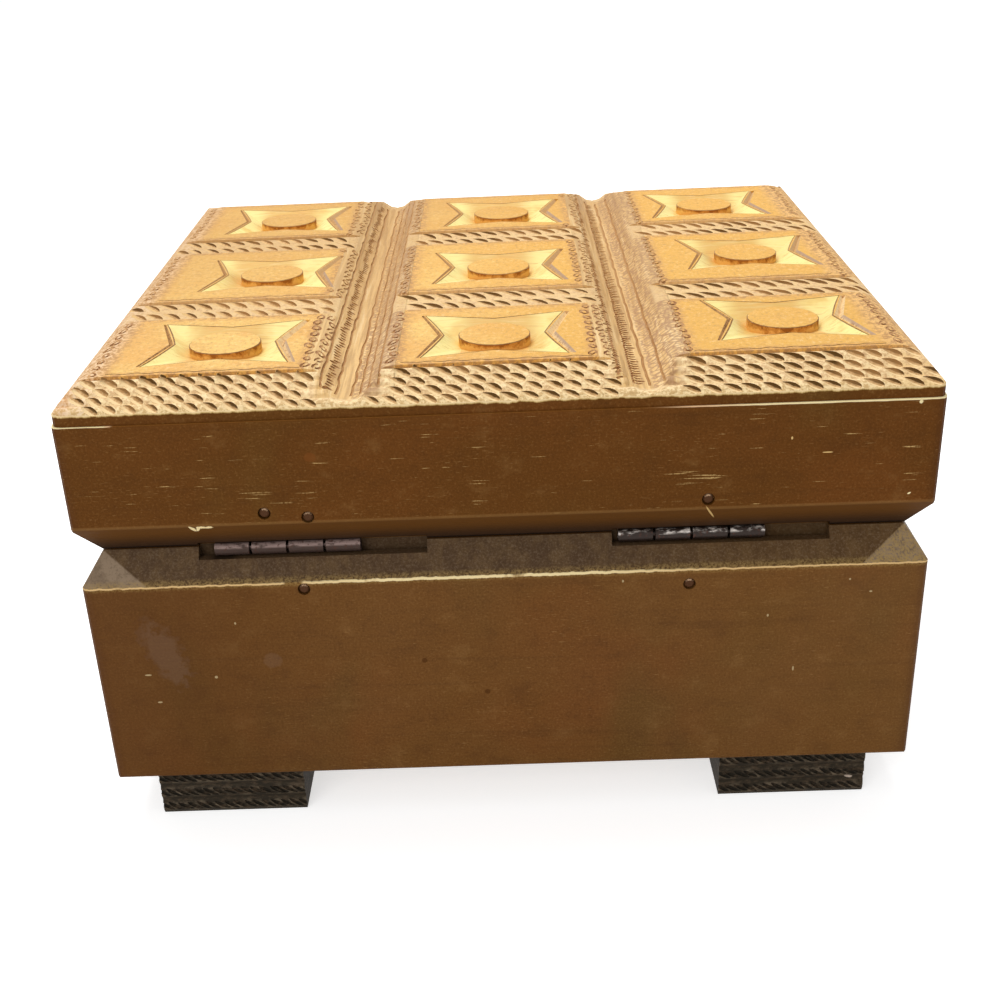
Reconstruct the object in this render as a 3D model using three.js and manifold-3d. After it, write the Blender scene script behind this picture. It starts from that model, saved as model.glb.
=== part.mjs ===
// Hinged wooden box with a chip-carved lid, built like the real one: mitred boards, a carved top
// board, carved feet, and two small rolled-knuckle hinges whose leaves sit in saw kerfs in the edges
// of the back boards and are held by brads driven through from behind.
// Millimetres. X runs to the right seen from the front, the hinges are on the back at +Y, Z is up.
// The origin is on the ground, under the middle of the box.

import * as THREE from "three";
import { mergeVertices } from "three/addons/utils/BufferGeometryUtils.js";
import Module from "manifold-3d";

const wasm = await Module();
wasm.setup();

// Box as a whole
const BOX_WIDTH = 150;
const BOX_DEPTH = 150;
const BOARD_THICKNESS = 9.5;
const CORNER_RADIUS = 1.6;
const NECK_INSET = 4.05;
const PARTING_GAP = 0.3;

// Base
const FOOT_HEIGHT = 9.6;
const FOOT_LENGTH = 27.8;
const FOOT_DEPTH = 14;
const FOOT_END_INSET = 7.3;
const FOOT_FACE_INSET = 1.8;
const FOOT_EASING = 0.8;
const FOOT_ROPES = 3;
const BASE_HEIGHT = 46.6;
const BASE_BEVEL_HEIGHT = 5.85;
const BASE_BOTTOM_EASING = 1.2;
const FLOOR_THICKNESS = 5;
const FLOOR_REBATE = 4;
const FLOOR_CLEARANCE = 0.2;

// Lid
const LID_FRAME_HEIGHT = 24.5;
const LID_CHAMFER_HEIGHT = 5.65;
const EDGE_EASING = 0.5;

// Carved top board, set back a little from the faces of the frame it is glued to
const TOP_SETBACK = 0.3;
const RIM_THICKNESS = 2;
const FIELD_THICKNESS = 5.5;
const SIDE_BORDER = 6.8;
const BACK_BORDER = 10.5;
const FRONT_BORDER = 12;
const BORDER_ROPES = 4;
const COLUMN_GROOVES = [-25.4, 25.2];
const COLUMN_GROOVE_WIDTH = 15.4;
const GROOVE_DEPTH_AT_BACK = 3.3;
const GROOVE_DEPTH_AT_FRONT = 4.6;
const ROPE_BANDS = [-23, 26.3];
const BAND_ROPES = 2;
const BAND_ROPE_PITCH = 6;
const ROPE_SINK = 0.6;
const ROPE_RELIEF = 0.5;

// The carved rows run a little out of square: by this much towards the back at the right end
const PATTERN_SKEW = 1.3;

// Chip-carved star of each of the nine fields, with its round boss and the cuts beside it
const STAR_TIP_X = 12.9;
const STAR_TIP_Y = 12.2;
const STAR_WAIST = 9.1;
const STAR_DIP = 9.2;
const STAR_SIDE_BOW = 0.4;
const STAR_DEPTH = 1.9;
const STAR_DEPTH_AT_DIP = 0.9;
const BOSS_RADIUS = 6.5;
const ARM_CREASE_X = 6;

// The V-cut along each side of a star: wide on the left, thin on the right
const CHEVRONS = [
  { side: -1, width: 1.7, depth: 0.9 },
  { side: 1, width: 0.8, depth: 0.5 },
];
const CHEVRON_WALL = 0.3;
const CHEVRON_END_SCALE = 0.6;

// How far the carver set each star from the middle of its field: rows from front to back,
// and in each row from the left end to the right end
const STAR_DRIFT = [
  [[0.3, 0], [-1.6, 0.9], [-1.2, 1]],
  [[-2.4, -2.6], [-0.6, 1.6], [-3.6, 1]],
  [[-1.8, -2.9], [0.4, 0.8], [-1.4, 0.5]],
];

// Hinges
const HINGE_LENGTH = 25.8;
const LEAF_REACH = 11;
const SHEET = 0.5;
const BARREL_RADIUS = 1.25;
const PIN_RADIUS = 0.45;
const KNUCKLES = 4;
const KNUCKLE_GAP = 0.5;
const ROLL_END_ANGLE = -100;
const AXIS_BELOW_BASE_TOP = 0.4;
const FIT_CLEARANCE = 0.3;
const KERF_END_CLEARANCE = 0.8;

// Brads
const BRAD_RADIUS = 0.5;
const BRAD_HEAD_RADIUS = 0.85;
const BRAD_HEAD_THICKNESS = 0.45;
const BRAD_POINT_LENGTH = 1.2;
const BRAD_POINT_RADIUS = 0.15;
const BRAD_SINK = 0.2;
const BRAD_TIP_COVER = 1.5;

// Each hinge: middle along X, how far the saw cut overruns it on either side, and its brads as
// [distance from the hinge's middle, distance from the pin]
const HINGES = [
  {
    side: "right",
    x: 38.1,
    overrun: { left: 11.8, right: 3 },
    baseBrads: [[-2.6, 6.7]],
    lidBrads: [[2.8, 8.3], [-4.65, 7.3]],
  },
  {
    side: "left",
    x: -33.3,
    overrun: { left: 11.5, right: 1.1 },
    baseBrads: [[0.5, 8.2]],
    lidBrads: [[-2.3, 8.1]],
  },
];

// Facets
const ROUNDING_STEPS = 3;
const GROOVE_STEPS = 6;
const ROPE_STEPS = 4;
const STAR_STEPS = 4;
const ROLL_STEPS = 16;
const PIN_SIDES = 16;
const BRAD_SIDES = 12;

// Derived levels and places
const HALF_WIDTH = BOX_WIDTH / 2;
const HALF_DEPTH = BOX_DEPTH / 2;
const TOP_HALF_WIDTH = HALF_WIDTH - TOP_SETBACK;
const TOP_HALF_DEPTH = HALF_DEPTH - TOP_SETBACK;
const BASE_BOTTOM = FOOT_HEIGHT;
const BASE_TOP = BASE_BOTTOM + BASE_HEIGHT;
const LID_BOTTOM = BASE_TOP + PARTING_GAP;
const LID_FRAME_TOP = LID_BOTTOM + LID_FRAME_HEIGHT;
const AXIS_Z = BASE_TOP - AXIS_BELOW_BASE_TOP;
const AXIS_Y = HALF_DEPTH - NECK_INSET;
const BORE_RADIUS = BARREL_RADIUS - SHEET;
const BRAD_LENGTH = BOARD_THICKNESS - BRAD_SINK - BRAD_TIP_COVER;
const KERF_INNER = BARREL_RADIUS + FIT_CLEARANCE;
const KERF_OUTER = BORE_RADIUS - FIT_CLEARANCE;
const KERF_REACH = LEAF_REACH + KERF_END_CLEARANCE;
const OVERCUT = 2;

// A section is drawn in X and Y; this lays its X along the model's Y and its Y along the model's Z
const SECTION_AXES = new THREE.Matrix4().makeBasis(
  new THREE.Vector3(0, 1, 0),
  new THREE.Vector3(0, 0, 1),
  new THREE.Vector3(1, 0, 0),
);

// Solids

function solid(geometry) {
  const bare = geometry.clone();
  bare.deleteAttribute("normal");
  bare.deleteAttribute("uv");
  const merged = mergeVertices(bare, 1e-5);
  return new wasm.Manifold(new wasm.Mesh({
    numProp: 3,
    vertProperties: new Float32Array(merged.attributes.position.array),
    triVerts: new Uint32Array(merged.index.array),
  }));
}

function geometryOf(body) {
  const mesh = body.getMesh();
  const geometry = new THREE.BufferGeometry();
  geometry.setAttribute("position", new THREE.BufferAttribute(new Float32Array(mesh.vertProperties), 3));
  geometry.setIndex(new THREE.BufferAttribute(new Uint32Array(mesh.triVerts), 1));
  return geometry;
}

function subtractAll(body, cutters) {
  return cutters.reduce((left, cutter) => left.subtract(cutter), body);
}

function cuboid(low, high) {
  const geometry = new THREE.BoxGeometry(high[0] - low[0], high[1] - low[1], high[2] - low[2]);
  geometry.translate((low[0] + high[0]) / 2, (low[1] + high[1]) / 2, (low[2] + high[2]) / 2);
  return solid(geometry);
}

// An outline through [x, y, radius] corners, each rounded by its radius
function roundedOutline(corners) {
  const shape = new THREE.Shape();
  corners.forEach(([x, y, radius], index) => {
    const corner = new THREE.Vector2(x, y);
    const before = corners[(index + corners.length - 1) % corners.length];
    const after = corners[(index + 1) % corners.length];
    const start = new THREE.Vector2(before[0], before[1]).sub(corner).setLength(radius).add(corner);
    const end = new THREE.Vector2(after[0], after[1]).sub(corner).setLength(radius).add(corner);
    if (index === 0) {
      shape.moveTo(start.x, start.y);
    } else {
      shape.lineTo(start.x, start.y);
    }
    if (radius > 0) {
      shape.quadraticCurveTo(corner.x, corner.y, end.x, end.y);
    }
  });
  shape.closePath();
  return shape;
}

function extrude(shape, depth, curveSegments) {
  return new THREE.ExtrudeGeometry(shape, { depth, steps: 1, bevelEnabled: false, curveSegments });
}

// A section that runs along X from one end to the other
function alongX(section, from, to, curveSegments) {
  const geometry = extrude(section, to - from, curveSegments);
  geometry.applyMatrix4(SECTION_AXES);
  return geometry.translate(from, 0, 0);
}

// Rings of equally many points, skinned one to the next. A closed loft joins its last ring to its
// first; an open one has an end face on its first and last ring.
function loft(rings, closed) {
  const count = rings[0].length;
  const positions = rings.flat(2);
  const index = [];
  const spans = closed ? rings.length : rings.length - 1;
  for (let ring = 0; ring < spans; ring += 1) {
    const here = ring * count;
    const next = ((ring + 1) % rings.length) * count;
    for (let point = 0; point < count; point += 1) {
      const along = (point + 1) % count;
      index.push(here + point, here + along, next + along);
      index.push(here + point, next + along, next + point);
    }
  }
  if (!closed) {
    const last = (rings.length - 1) * count;
    for (let point = 1; point < count - 1; point += 1) {
      index.push(0, point + 1, point);
      index.push(last, last + point, last + point + 1);
    }
  }
  const geometry = new THREE.BufferGeometry();
  geometry.setAttribute("position", new THREE.Float32BufferAttribute(positions, 3));
  geometry.setIndex(index);
  return geometry;
}

// Half-round ropes side by side from one point of a section to another
function addRopes(shape, from, to, ropes) {
  const run = to.clone().sub(from);
  const outward = new THREE.Vector2(run.y, -run.x).setLength(2 * ROPE_RELIEF);
  for (let rope = 0; rope < ropes; rope += 1) {
    const crest = run.clone().multiplyScalar((rope + 0.5) / ropes).add(from).add(outward);
    const end = run.clone().multiplyScalar((rope + 1) / ropes).add(from);
    shape.quadraticCurveTo(crest.x, crest.y, end.x, end.y);
  }
}

// Mitred boards of the base and of the lid frame

function roundedPlan(halfX, halfY, low, high) {
  const outline = roundedOutline([
    [-halfX, -halfY, CORNER_RADIUS],
    [halfX, -halfY, CORNER_RADIUS],
    [halfX, halfY, CORNER_RADIUS],
    [-halfX, halfY, CORNER_RADIUS],
  ]);
  return solid(extrude(outline, high - low, ROUNDING_STEPS).translate(0, 0, low));
}

// A board on the +Y side: its section runs along X, its ends are slid on to the mitres,
// and its outer corners are rounded
function mitredBoard(section, halfRun, halfAcross) {
  const geometry = alongX(section, -1, 1, ROUNDING_STEPS);
  const position = geometry.attributes.position;
  for (let i = 0; i < position.count; i += 1) {
    const fromFace = halfAcross - position.getY(i);
    position.setX(i, Math.sign(position.getX(i)) * (halfRun - fromFace));
  }
  const plan = roundedPlan(halfRun, halfAcross, BASE_BOTTOM - OVERCUT, LID_FRAME_TOP + OVERCUT);
  return solid(geometry).intersect(plan);
}

function baseSection(halfAcross) {
  const inner = halfAcross - BOARD_THICKNESS;
  const ledge = BASE_BOTTOM + FLOOR_THICKNESS;
  return roundedOutline([
    [inner, ledge, 0],
    [inner + FLOOR_REBATE, ledge, 0],
    [inner + FLOOR_REBATE, BASE_BOTTOM, 0],
    [halfAcross, BASE_BOTTOM, BASE_BOTTOM_EASING],
    [halfAcross, BASE_TOP - BASE_BEVEL_HEIGHT, EDGE_EASING],
    [halfAcross - NECK_INSET, BASE_TOP, 0],
    [inner, BASE_TOP, 0],
  ]);
}

function lidSection(halfAcross) {
  const inner = halfAcross - BOARD_THICKNESS;
  return roundedOutline([
    [inner, LID_BOTTOM, 0],
    [halfAcross - NECK_INSET, LID_BOTTOM, 0],
    [halfAcross, LID_BOTTOM + LID_CHAMFER_HEIGHT, EDGE_EASING],
    [halfAcross, LID_FRAME_TOP, 0],
    [inner, LID_FRAME_TOP, 0],
  ]);
}

// Brads: a pointed shank with a flat head, standing along Y with its head towards +Y.
// The bore that takes one is the same profile, grown by the clearance.

function bradProfile(grow) {
  const headBottom = BRAD_LENGTH - BRAD_HEAD_THICKNESS;
  return [
    new THREE.Vector2(0, -grow),
    new THREE.Vector2(BRAD_POINT_RADIUS + grow, -grow),
    new THREE.Vector2(BRAD_RADIUS + grow, BRAD_POINT_LENGTH - grow),
    new THREE.Vector2(BRAD_RADIUS + grow, headBottom - grow),
    new THREE.Vector2(BRAD_HEAD_RADIUS + grow, headBottom - grow),
  ];
}

function bradGeometry() {
  const rim = BRAD_LENGTH - BRAD_HEAD_THICKNESS / 3;
  const profile = bradProfile(0).concat([
    new THREE.Vector2(BRAD_HEAD_RADIUS, rim),
    new THREE.Vector2(BRAD_HEAD_RADIUS * 0.7, BRAD_LENGTH),
    new THREE.Vector2(0, BRAD_LENGTH),
  ]);
  return new THREE.LatheGeometry(profile, BRAD_SIDES);
}

function bradBore(x, z) {
  const mouth = BRAD_LENGTH + BRAD_SINK + OVERCUT;
  const profile = bradProfile(FIT_CLEARANCE).concat([
    new THREE.Vector2(BRAD_HEAD_RADIUS + FIT_CLEARANCE, mouth),
    new THREE.Vector2(0, mouth),
  ]);
  const geometry = new THREE.LatheGeometry(profile, BRAD_SIDES);
  return solid(geometry.translate(x, HALF_DEPTH - BRAD_SINK - BRAD_LENGTH, z));
}

// What each hinge takes out of the back boards

function slotEnds(hinge) {
  const half = HINGE_LENGTH / 2;
  return [hinge.x - half - hinge.overrun.left, hinge.x + half + hinge.overrun.right];
}

// Base: a rebate for the lower half of the barrel, and below it the kerf for the leaf
function baseHingeCuts(hinge) {
  const [left, right] = slotEnds(hinge);
  const ledge = AXIS_Z - BARREL_RADIUS - FIT_CLEARANCE;
  return [
    cuboid([left, AXIS_Y - KERF_INNER, ledge], [right, HALF_DEPTH + OVERCUT, BASE_TOP + OVERCUT]),
    cuboid([left, AXIS_Y - KERF_INNER, AXIS_Z - KERF_REACH], [right, AXIS_Y - KERF_OUTER, BASE_TOP]),
    ...hinge.baseBrads.map(([x, reach]) => bradBore(hinge.x + x, AXIS_Z - reach)),
  ];
}

// Lid: a round channel about the pin for the upper half of the barrel, and above it the kerf
function lidHingeCuts(hinge) {
  const [left, right] = slotEnds(hinge);
  const channel = new THREE.CylinderGeometry(KERF_INNER, KERF_INNER, right - left, 2 * ROLL_STEPS);
  channel.rotateZ(Math.PI / 2);
  channel.translate((left + right) / 2, AXIS_Y, AXIS_Z);
  return [
    solid(channel),
    cuboid([left, AXIS_Y - KERF_INNER, AXIS_Z], [right, AXIS_Y - KERF_OUTER, AXIS_Z + KERF_REACH]),
    ...hinge.lidBrads.map(([x, reach]) => bradBore(hinge.x + x, AXIS_Z + reach)),
  ];
}

// Hinge leaf with its pin line at the origin: the sheet hangs down on the -Y side of the pin, and
// every second knuckle is rolled from it round the pin. Turned half round about Y it is the other leaf.

function leafGeometry(brads) {
  const notch = BARREL_RADIUS + FIT_CLEARANCE;
  const half = HINGE_LENGTH / 2;
  const sheet = roundedOutline([
    [-half, -LEAF_REACH, EDGE_EASING],
    [half, -LEAF_REACH, EDGE_EASING],
    [half, -notch, 0],
    [-half, -notch, 0],
  ]);
  brads.forEach(([x, reach]) => {
    const hole = new THREE.Path();
    hole.absarc(x, -reach, BRAD_RADIUS + FIT_CLEARANCE, 0, 2 * Math.PI, true);
    sheet.holes.push(hole);
  });
  const plate = extrude(sheet, SHEET, ROUNDING_STEPS * 2);
  plate.rotateX(Math.PI / 2);
  plate.translate(0, -BORE_RADIUS, 0);

  const rollEnd = THREE.MathUtils.degToRad(ROLL_END_ANGLE);
  const roll = new THREE.Shape();
  roll.moveTo(-BARREL_RADIUS, -notch - SHEET);
  roll.lineTo(-BARREL_RADIUS, 0);
  roll.absarc(0, 0, BARREL_RADIUS, Math.PI, rollEnd, true);
  roll.absarc(0, 0, BORE_RADIUS, rollEnd, Math.PI, false);
  roll.lineTo(-BORE_RADIUS, -notch - SHEET);
  roll.closePath();

  const pitch = (HINGE_LENGTH + KNUCKLE_GAP) / KNUCKLES;
  let leaf = solid(plate);
  for (let knuckle = 0; knuckle < KNUCKLES; knuckle += 2) {
    const from = -half + knuckle * pitch;
    leaf = leaf.add(solid(alongX(roll, from, from + pitch - KNUCKLE_GAP, ROLL_STEPS)));
  }
  return geometryOf(leaf);
}

// Pin with slightly peened ends, along X
function pinGeometry() {
  const half = HINGE_LENGTH / 2;
  const ease = PIN_RADIUS / 2;
  const profile = [
    new THREE.Vector2(0, -half),
    new THREE.Vector2(ease, -half),
    new THREE.Vector2(PIN_RADIUS, -half + ease),
    new THREE.Vector2(PIN_RADIUS, half - ease),
    new THREE.Vector2(ease, half),
    new THREE.Vector2(0, half),
  ];
  return new THREE.LatheGeometry(profile, PIN_SIDES).rotateZ(Math.PI / 2);
}

// Carved top board, drawn with its underside at zero

// Its section across the box, with sloping side borders
function acrossSection() {
  const shape = new THREE.Shape();
  const edge = TOP_HALF_WIDTH;
  const inBorder = HALF_WIDTH - SIDE_BORDER;
  const shoulder = edge - SIDE_BORDER / 3;
  shape.moveTo(-edge, 0);
  shape.lineTo(edge, 0);
  shape.lineTo(edge, RIM_THICKNESS);
  shape.quadraticCurveTo(shoulder, FIELD_THICKNESS, inBorder, FIELD_THICKNESS);
  shape.lineTo(-inBorder, FIELD_THICKNESS);
  shape.quadraticCurveTo(-shoulder, FIELD_THICKNESS, -edge, RIM_THICKNESS);
  shape.closePath();
  return shape;
}

// Its section from front to back: sloping rope borders and the level rope bands between the fields
function lengthwiseSection() {
  const shape = new THREE.Shape();
  const edge = TOP_HALF_DEPTH;
  const backField = HALF_DEPTH - BACK_BORDER;
  const frontField = FRONT_BORDER - HALF_DEPTH;
  const valley = FIELD_THICKNESS - ROPE_SINK;
  const halfBand = (BAND_ROPES * BAND_ROPE_PITCH) / 2;
  const point = (y, z) => new THREE.Vector2(y, z);
  shape.moveTo(-edge, 0);
  shape.lineTo(edge, 0);
  shape.lineTo(edge, RIM_THICKNESS);
  addRopes(shape, point(edge, RIM_THICKNESS), point(backField, valley), BORDER_ROPES);
  shape.lineTo(backField, FIELD_THICKNESS);
  [...ROPE_BANDS].reverse().forEach((y) => {
    shape.lineTo(y + halfBand, FIELD_THICKNESS);
    shape.lineTo(y + halfBand, valley);
    addRopes(shape, point(y + halfBand, valley), point(y - halfBand, valley), BAND_ROPES);
    shape.lineTo(y - halfBand, FIELD_THICKNESS);
  });
  shape.lineTo(frontField, FIELD_THICKNESS);
  shape.lineTo(frontField, valley);
  addRopes(shape, point(frontField, valley), point(-edge, RIM_THICKNESS), BORDER_ROPES);
  shape.closePath();
  return shape;
}

// That section from end to end, with the rows skewed. The skew fades out over the borders, so that
// the board's own edges stay square.
function lengthwiseSolid() {
  const geometry = alongX(lengthwiseSection(), -HALF_WIDTH, HALF_WIDTH, ROPE_STEPS);
  const position = geometry.attributes.position;
  for (let i = 0; i < position.count; i += 1) {
    const y = position.getY(i);
    const border = y > 0 ? BACK_BORDER : FRONT_BORDER;
    const share = THREE.MathUtils.clamp((TOP_HALF_DEPTH - Math.abs(y)) / border, 0, 1);
    position.setY(i, y + Math.sign(position.getX(i)) * PATTERN_SKEW * share);
  }
  return solid(geometry);
}

// A smooth groove from the back to the front, deeper at the front, where it runs out over the edge
function grooveCutter(x) {
  const half = COLUMN_GROOVE_WIDTH / 2;
  const section = new THREE.Shape();
  section.moveTo(half, 1);
  section.lineTo(-half, 1);
  section.lineTo(-half, 0);
  section.bezierCurveTo(-half / 2, 0, -half / 2, -1, 0, -1);
  section.bezierCurveTo(half / 2, -1, half / 2, 0, half, 0);
  section.closePath();
  const geometry = extrude(section, BOX_DEPTH, GROOVE_STEPS);
  geometry.rotateX(Math.PI / 2);
  geometry.translate(x, HALF_DEPTH, 0);
  const position = geometry.attributes.position;
  for (let i = 0; i < position.count; i += 1) {
    const depth = position.getY(i) > 0 ? GROOVE_DEPTH_AT_BACK : GROOVE_DEPTH_AT_FRONT;
    position.setZ(i, FIELD_THICKNESS + position.getZ(i) * depth);
  }
  return solid(geometry);
}

// Middles of the fields from one edge of the pattern to the other, between the dividers
function fieldMiddles(from, to, dividers, dividerWidth) {
  const low = [from, ...dividers.map((place) => place + dividerWidth / 2)];
  const high = [...dividers.map((place) => place - dividerWidth / 2), to];
  return low.map((start, index) => (start + high[index]) / 2);
}

// One quarter of a star, from its waist round the tip to the dip in its end. From each point of the
// outline the floor falls to a point at the foot of the boss: in a fan along the arm, and straight
// across from the dip, where it is shallower.
function starQuarter() {
  const waist = new THREE.Vector2(STAR_WAIST, 0);
  const tip = new THREE.Vector2(STAR_TIP_X, STAR_TIP_Y);
  const beside = waist.clone().add(tip).divideScalar(2).sub(new THREE.Vector2(STAR_SIDE_BOW, 0));
  const side = new THREE.QuadraticBezierCurve(waist, beside, tip).getPoints(STAR_STEPS);
  const creaseAngle = Math.acos(ARM_CREASE_X / BOSS_RADIUS);
  const stations = side.map((outline, step) => {
    const angle = (creaseAngle * step) / STAR_STEPS;
    const foot = new THREE.Vector2(Math.cos(angle), Math.sin(angle)).multiplyScalar(BOSS_RADIUS);
    return { outline, foot, depth: STAR_DEPTH };
  });
  for (let step = 0; step <= STAR_STEPS; step += 1) {
    const x = ARM_CREASE_X * (1 - step / STAR_STEPS);
    const alongEnd = STAR_DIP + ((STAR_TIP_Y - STAR_DIP) * x) / STAR_TIP_X;
    stations.push({
      outline: new THREE.Vector2(x, alongEnd),
      foot: new THREE.Vector2(x, Math.sqrt(BOSS_RADIUS ** 2 - x ** 2)),
      depth: STAR_DEPTH_AT_DIP + ((STAR_DEPTH - STAR_DEPTH_AT_DIP) * x) / ARM_CREASE_X,
    });
  }
  return stations;
}

// The chip-cut hollow of one star, round the boss that is left standing
function starCutter(x, y) {
  const quarter = starQuarter();
  const backwards = [...quarter].reverse();
  const ring = (pointOf, heightOf) => {
    return [[1, 1], [-1, 1], [-1, -1], [1, -1]].flatMap(([right, back]) => {
      const stations = right === back ? quarter : backwards;
      return stations.slice(0, -1).map((station) => {
        const point = pointOf(station);
        return [x + right * point.x, y + back * point.y, heightOf(station)];
      });
    });
  };
  const outline = (station) => station.outline;
  const foot = (station) => station.foot;
  const rings = [
    ring(outline, () => FIELD_THICKNESS + OVERCUT),
    ring(foot, () => FIELD_THICKNESS + OVERCUT),
    ring(foot, (station) => FIELD_THICKNESS - station.depth),
    ring(outline, () => FIELD_THICKNESS),
  ];
  return solid(loft(rings, true));
}

// The V-shaped cut that follows the side of a star
function chevronCutter(x, y, { side, width, depth }) {
  const stations = [
    [STAR_TIP_X, -STAR_TIP_Y, CHEVRON_END_SCALE],
    [STAR_WAIST, 0, 1],
    [STAR_TIP_X, STAR_TIP_Y, CHEVRON_END_SCALE],
  ];
  const rings = stations.map(([out, along, scale]) => {
    const middle = x + side * (out + CHEVRON_WALL + (width * scale) / 2);
    const half = (width * scale * (depth * scale + OVERCUT)) / (depth * scale) / 2;
    return [
      [middle - half, y + along, FIELD_THICKNESS + OVERCUT],
      [middle + half, y + along, FIELD_THICKNESS + OVERCUT],
      [middle, y + along, FIELD_THICKNESS - depth * scale],
    ];
  });
  return solid(loft(rings, false));
}

function topPanelGeometry() {
  const across = extrude(acrossSection(), BOX_DEPTH, GROOVE_STEPS);
  across.rotateX(Math.PI / 2);
  across.translate(0, HALF_DEPTH, 0);
  const plan = roundedPlan(TOP_HALF_WIDTH, TOP_HALF_DEPTH, -OVERCUT, FIELD_THICKNESS + OVERCUT);
  const blank = solid(across).intersect(lengthwiseSolid()).intersect(plan);

  const sideField = HALF_WIDTH - SIDE_BORDER;
  const columns = fieldMiddles(-sideField, sideField, COLUMN_GROOVES, COLUMN_GROOVE_WIDTH);
  const frontField = FRONT_BORDER - HALF_DEPTH;
  const rows = fieldMiddles(frontField, HALF_DEPTH - BACK_BORDER, ROPE_BANDS, BAND_ROPES * BAND_ROPE_PITCH);
  const cutters = COLUMN_GROOVES.map(grooveCutter);
  rows.forEach((row, rowIndex) => {
    columns.forEach((column, columnIndex) => {
      const [driftX, driftY] = STAR_DRIFT[rowIndex][columnIndex];
      const x = column + driftX;
      const y = row + driftY;
      cutters.push(starCutter(x, y), ...CHEVRONS.map((chevron) => chevronCutter(x, y, chevron)));
    });
  });
  return geometryOf(subtractAll(blank, cutters));
}

// Floor and feet

function floorGeometry() {
  const halfX = HALF_WIDTH - BOARD_THICKNESS + FLOOR_REBATE - FLOOR_CLEARANCE;
  const halfY = HALF_DEPTH - BOARD_THICKNESS + FLOOR_REBATE - FLOOR_CLEARANCE;
  const geometry = new THREE.BoxGeometry(2 * halfX, 2 * halfY, FLOOR_THICKNESS);
  return geometry.translate(0, 0, BASE_BOTTOM + FLOOR_THICKNESS / 2);
}

// A foot under the back, with its rope-carved face towards +Y
function footGeometry() {
  const section = new THREE.Shape();
  section.moveTo(-FOOT_DEPTH, FOOT_HEIGHT);
  section.lineTo(-FOOT_DEPTH, FOOT_EASING);
  section.quadraticCurveTo(-FOOT_DEPTH, 0, FOOT_EASING - FOOT_DEPTH, 0);
  section.lineTo(-ROPE_RELIEF, 0);
  const lowest = new THREE.Vector2(-ROPE_RELIEF, 0);
  addRopes(section, lowest, new THREE.Vector2(-ROPE_RELIEF, FOOT_HEIGHT), FOOT_ROPES);
  section.closePath();
  return alongX(section, -FOOT_LENGTH / 2, FOOT_LENGTH / 2, ROPE_STEPS);
}

// Assembly

const box = new THREE.Group();
box.name = "hinged_box";

const FINISHES = {
  sideWood: { color: 0x6b4420, roughness: 0.42, metalness: 0 },
  carvedWood: { color: 0xcf9148, roughness: 0.5, metalness: 0 },
  footWood: { color: 0x3a2a1c, roughness: 0.6, metalness: 0 },
  floorWood: { color: 0x9a6c3a, roughness: 0.6, metalness: 0 },
  hingeSteel: { color: 0x9a8c86, roughness: 0.4, metalness: 0.9 },
  bradSteel: { color: 0x5a4636, roughness: 0.5, metalness: 0.8 },
};

function addPart(group, name, geometry, finish) {
  geometry.computeVertexNormals();
  const mesh = new THREE.Mesh(geometry, new THREE.MeshStandardMaterial(FINISHES[finish]));
  mesh.name = name;
  group.add(mesh);
  return mesh;
}

// The four boards of a frame, each turned from the +Y side to its own
function addFrame(group, prefix, suffix, section, backCuts) {
  const boards = [
    { side: "back", turn: 0, halfRun: HALF_WIDTH, halfAcross: HALF_DEPTH, cuts: backCuts },
    { side: "left", turn: 1, halfRun: HALF_DEPTH, halfAcross: HALF_WIDTH, cuts: [] },
    { side: "front", turn: 2, halfRun: HALF_WIDTH, halfAcross: HALF_DEPTH, cuts: [] },
    { side: "right", turn: 3, halfRun: HALF_DEPTH, halfAcross: HALF_WIDTH, cuts: [] },
  ];
  boards.forEach((board) => {
    const blank = mitredBoard(section(board.halfAcross), board.halfRun, board.halfAcross);
    const geometry = geometryOf(subtractAll(blank, board.cuts));
    const mesh = addPart(group, `${prefix}_${board.side}_${suffix}`, geometry, "sideWood");
    mesh.rotation.z = (board.turn * Math.PI) / 2;
  });
}

const base = new THREE.Group();
base.name = "base";
box.add(base);
addFrame(base, "base", "wall", baseSection, HINGES.flatMap(baseHingeCuts));
addPart(base, "base_floor", floorGeometry(), "floorWood");
[["back", 1, 0], ["front", -1, Math.PI]].forEach(([end, towardsBack, turn]) => {
  [["left", -1], ["right", 1]].forEach(([side, towardsRight]) => {
    const foot = addPart(base, `foot_${end}_${side}`, footGeometry(), "footWood");
    foot.rotation.z = turn;
    foot.position.x = towardsRight * (HALF_WIDTH - FOOT_END_INSET - FOOT_LENGTH / 2);
    foot.position.y = towardsBack * (HALF_DEPTH - FOOT_FACE_INSET);
  });
});

const lid = new THREE.Group();
lid.name = "lid";
box.add(lid);
addFrame(lid, "lid", "rail", lidSection, HINGES.flatMap(lidHingeCuts));
addPart(lid, "lid_top_panel", topPanelGeometry(), "carvedWood").position.z = LID_FRAME_TOP;

function addBrads(group, hinge, part, brads, direction) {
  brads.forEach(([x, reach], index) => {
    const brad = addPart(group, `${hinge.side}_hinge_${part}_brad_${index + 1}`, bradGeometry(), "bradSteel");
    const y = HALF_DEPTH - BRAD_SINK - BRAD_LENGTH;
    brad.position.set(hinge.x + x, y, AXIS_Z + direction * reach);
  });
}

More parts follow.
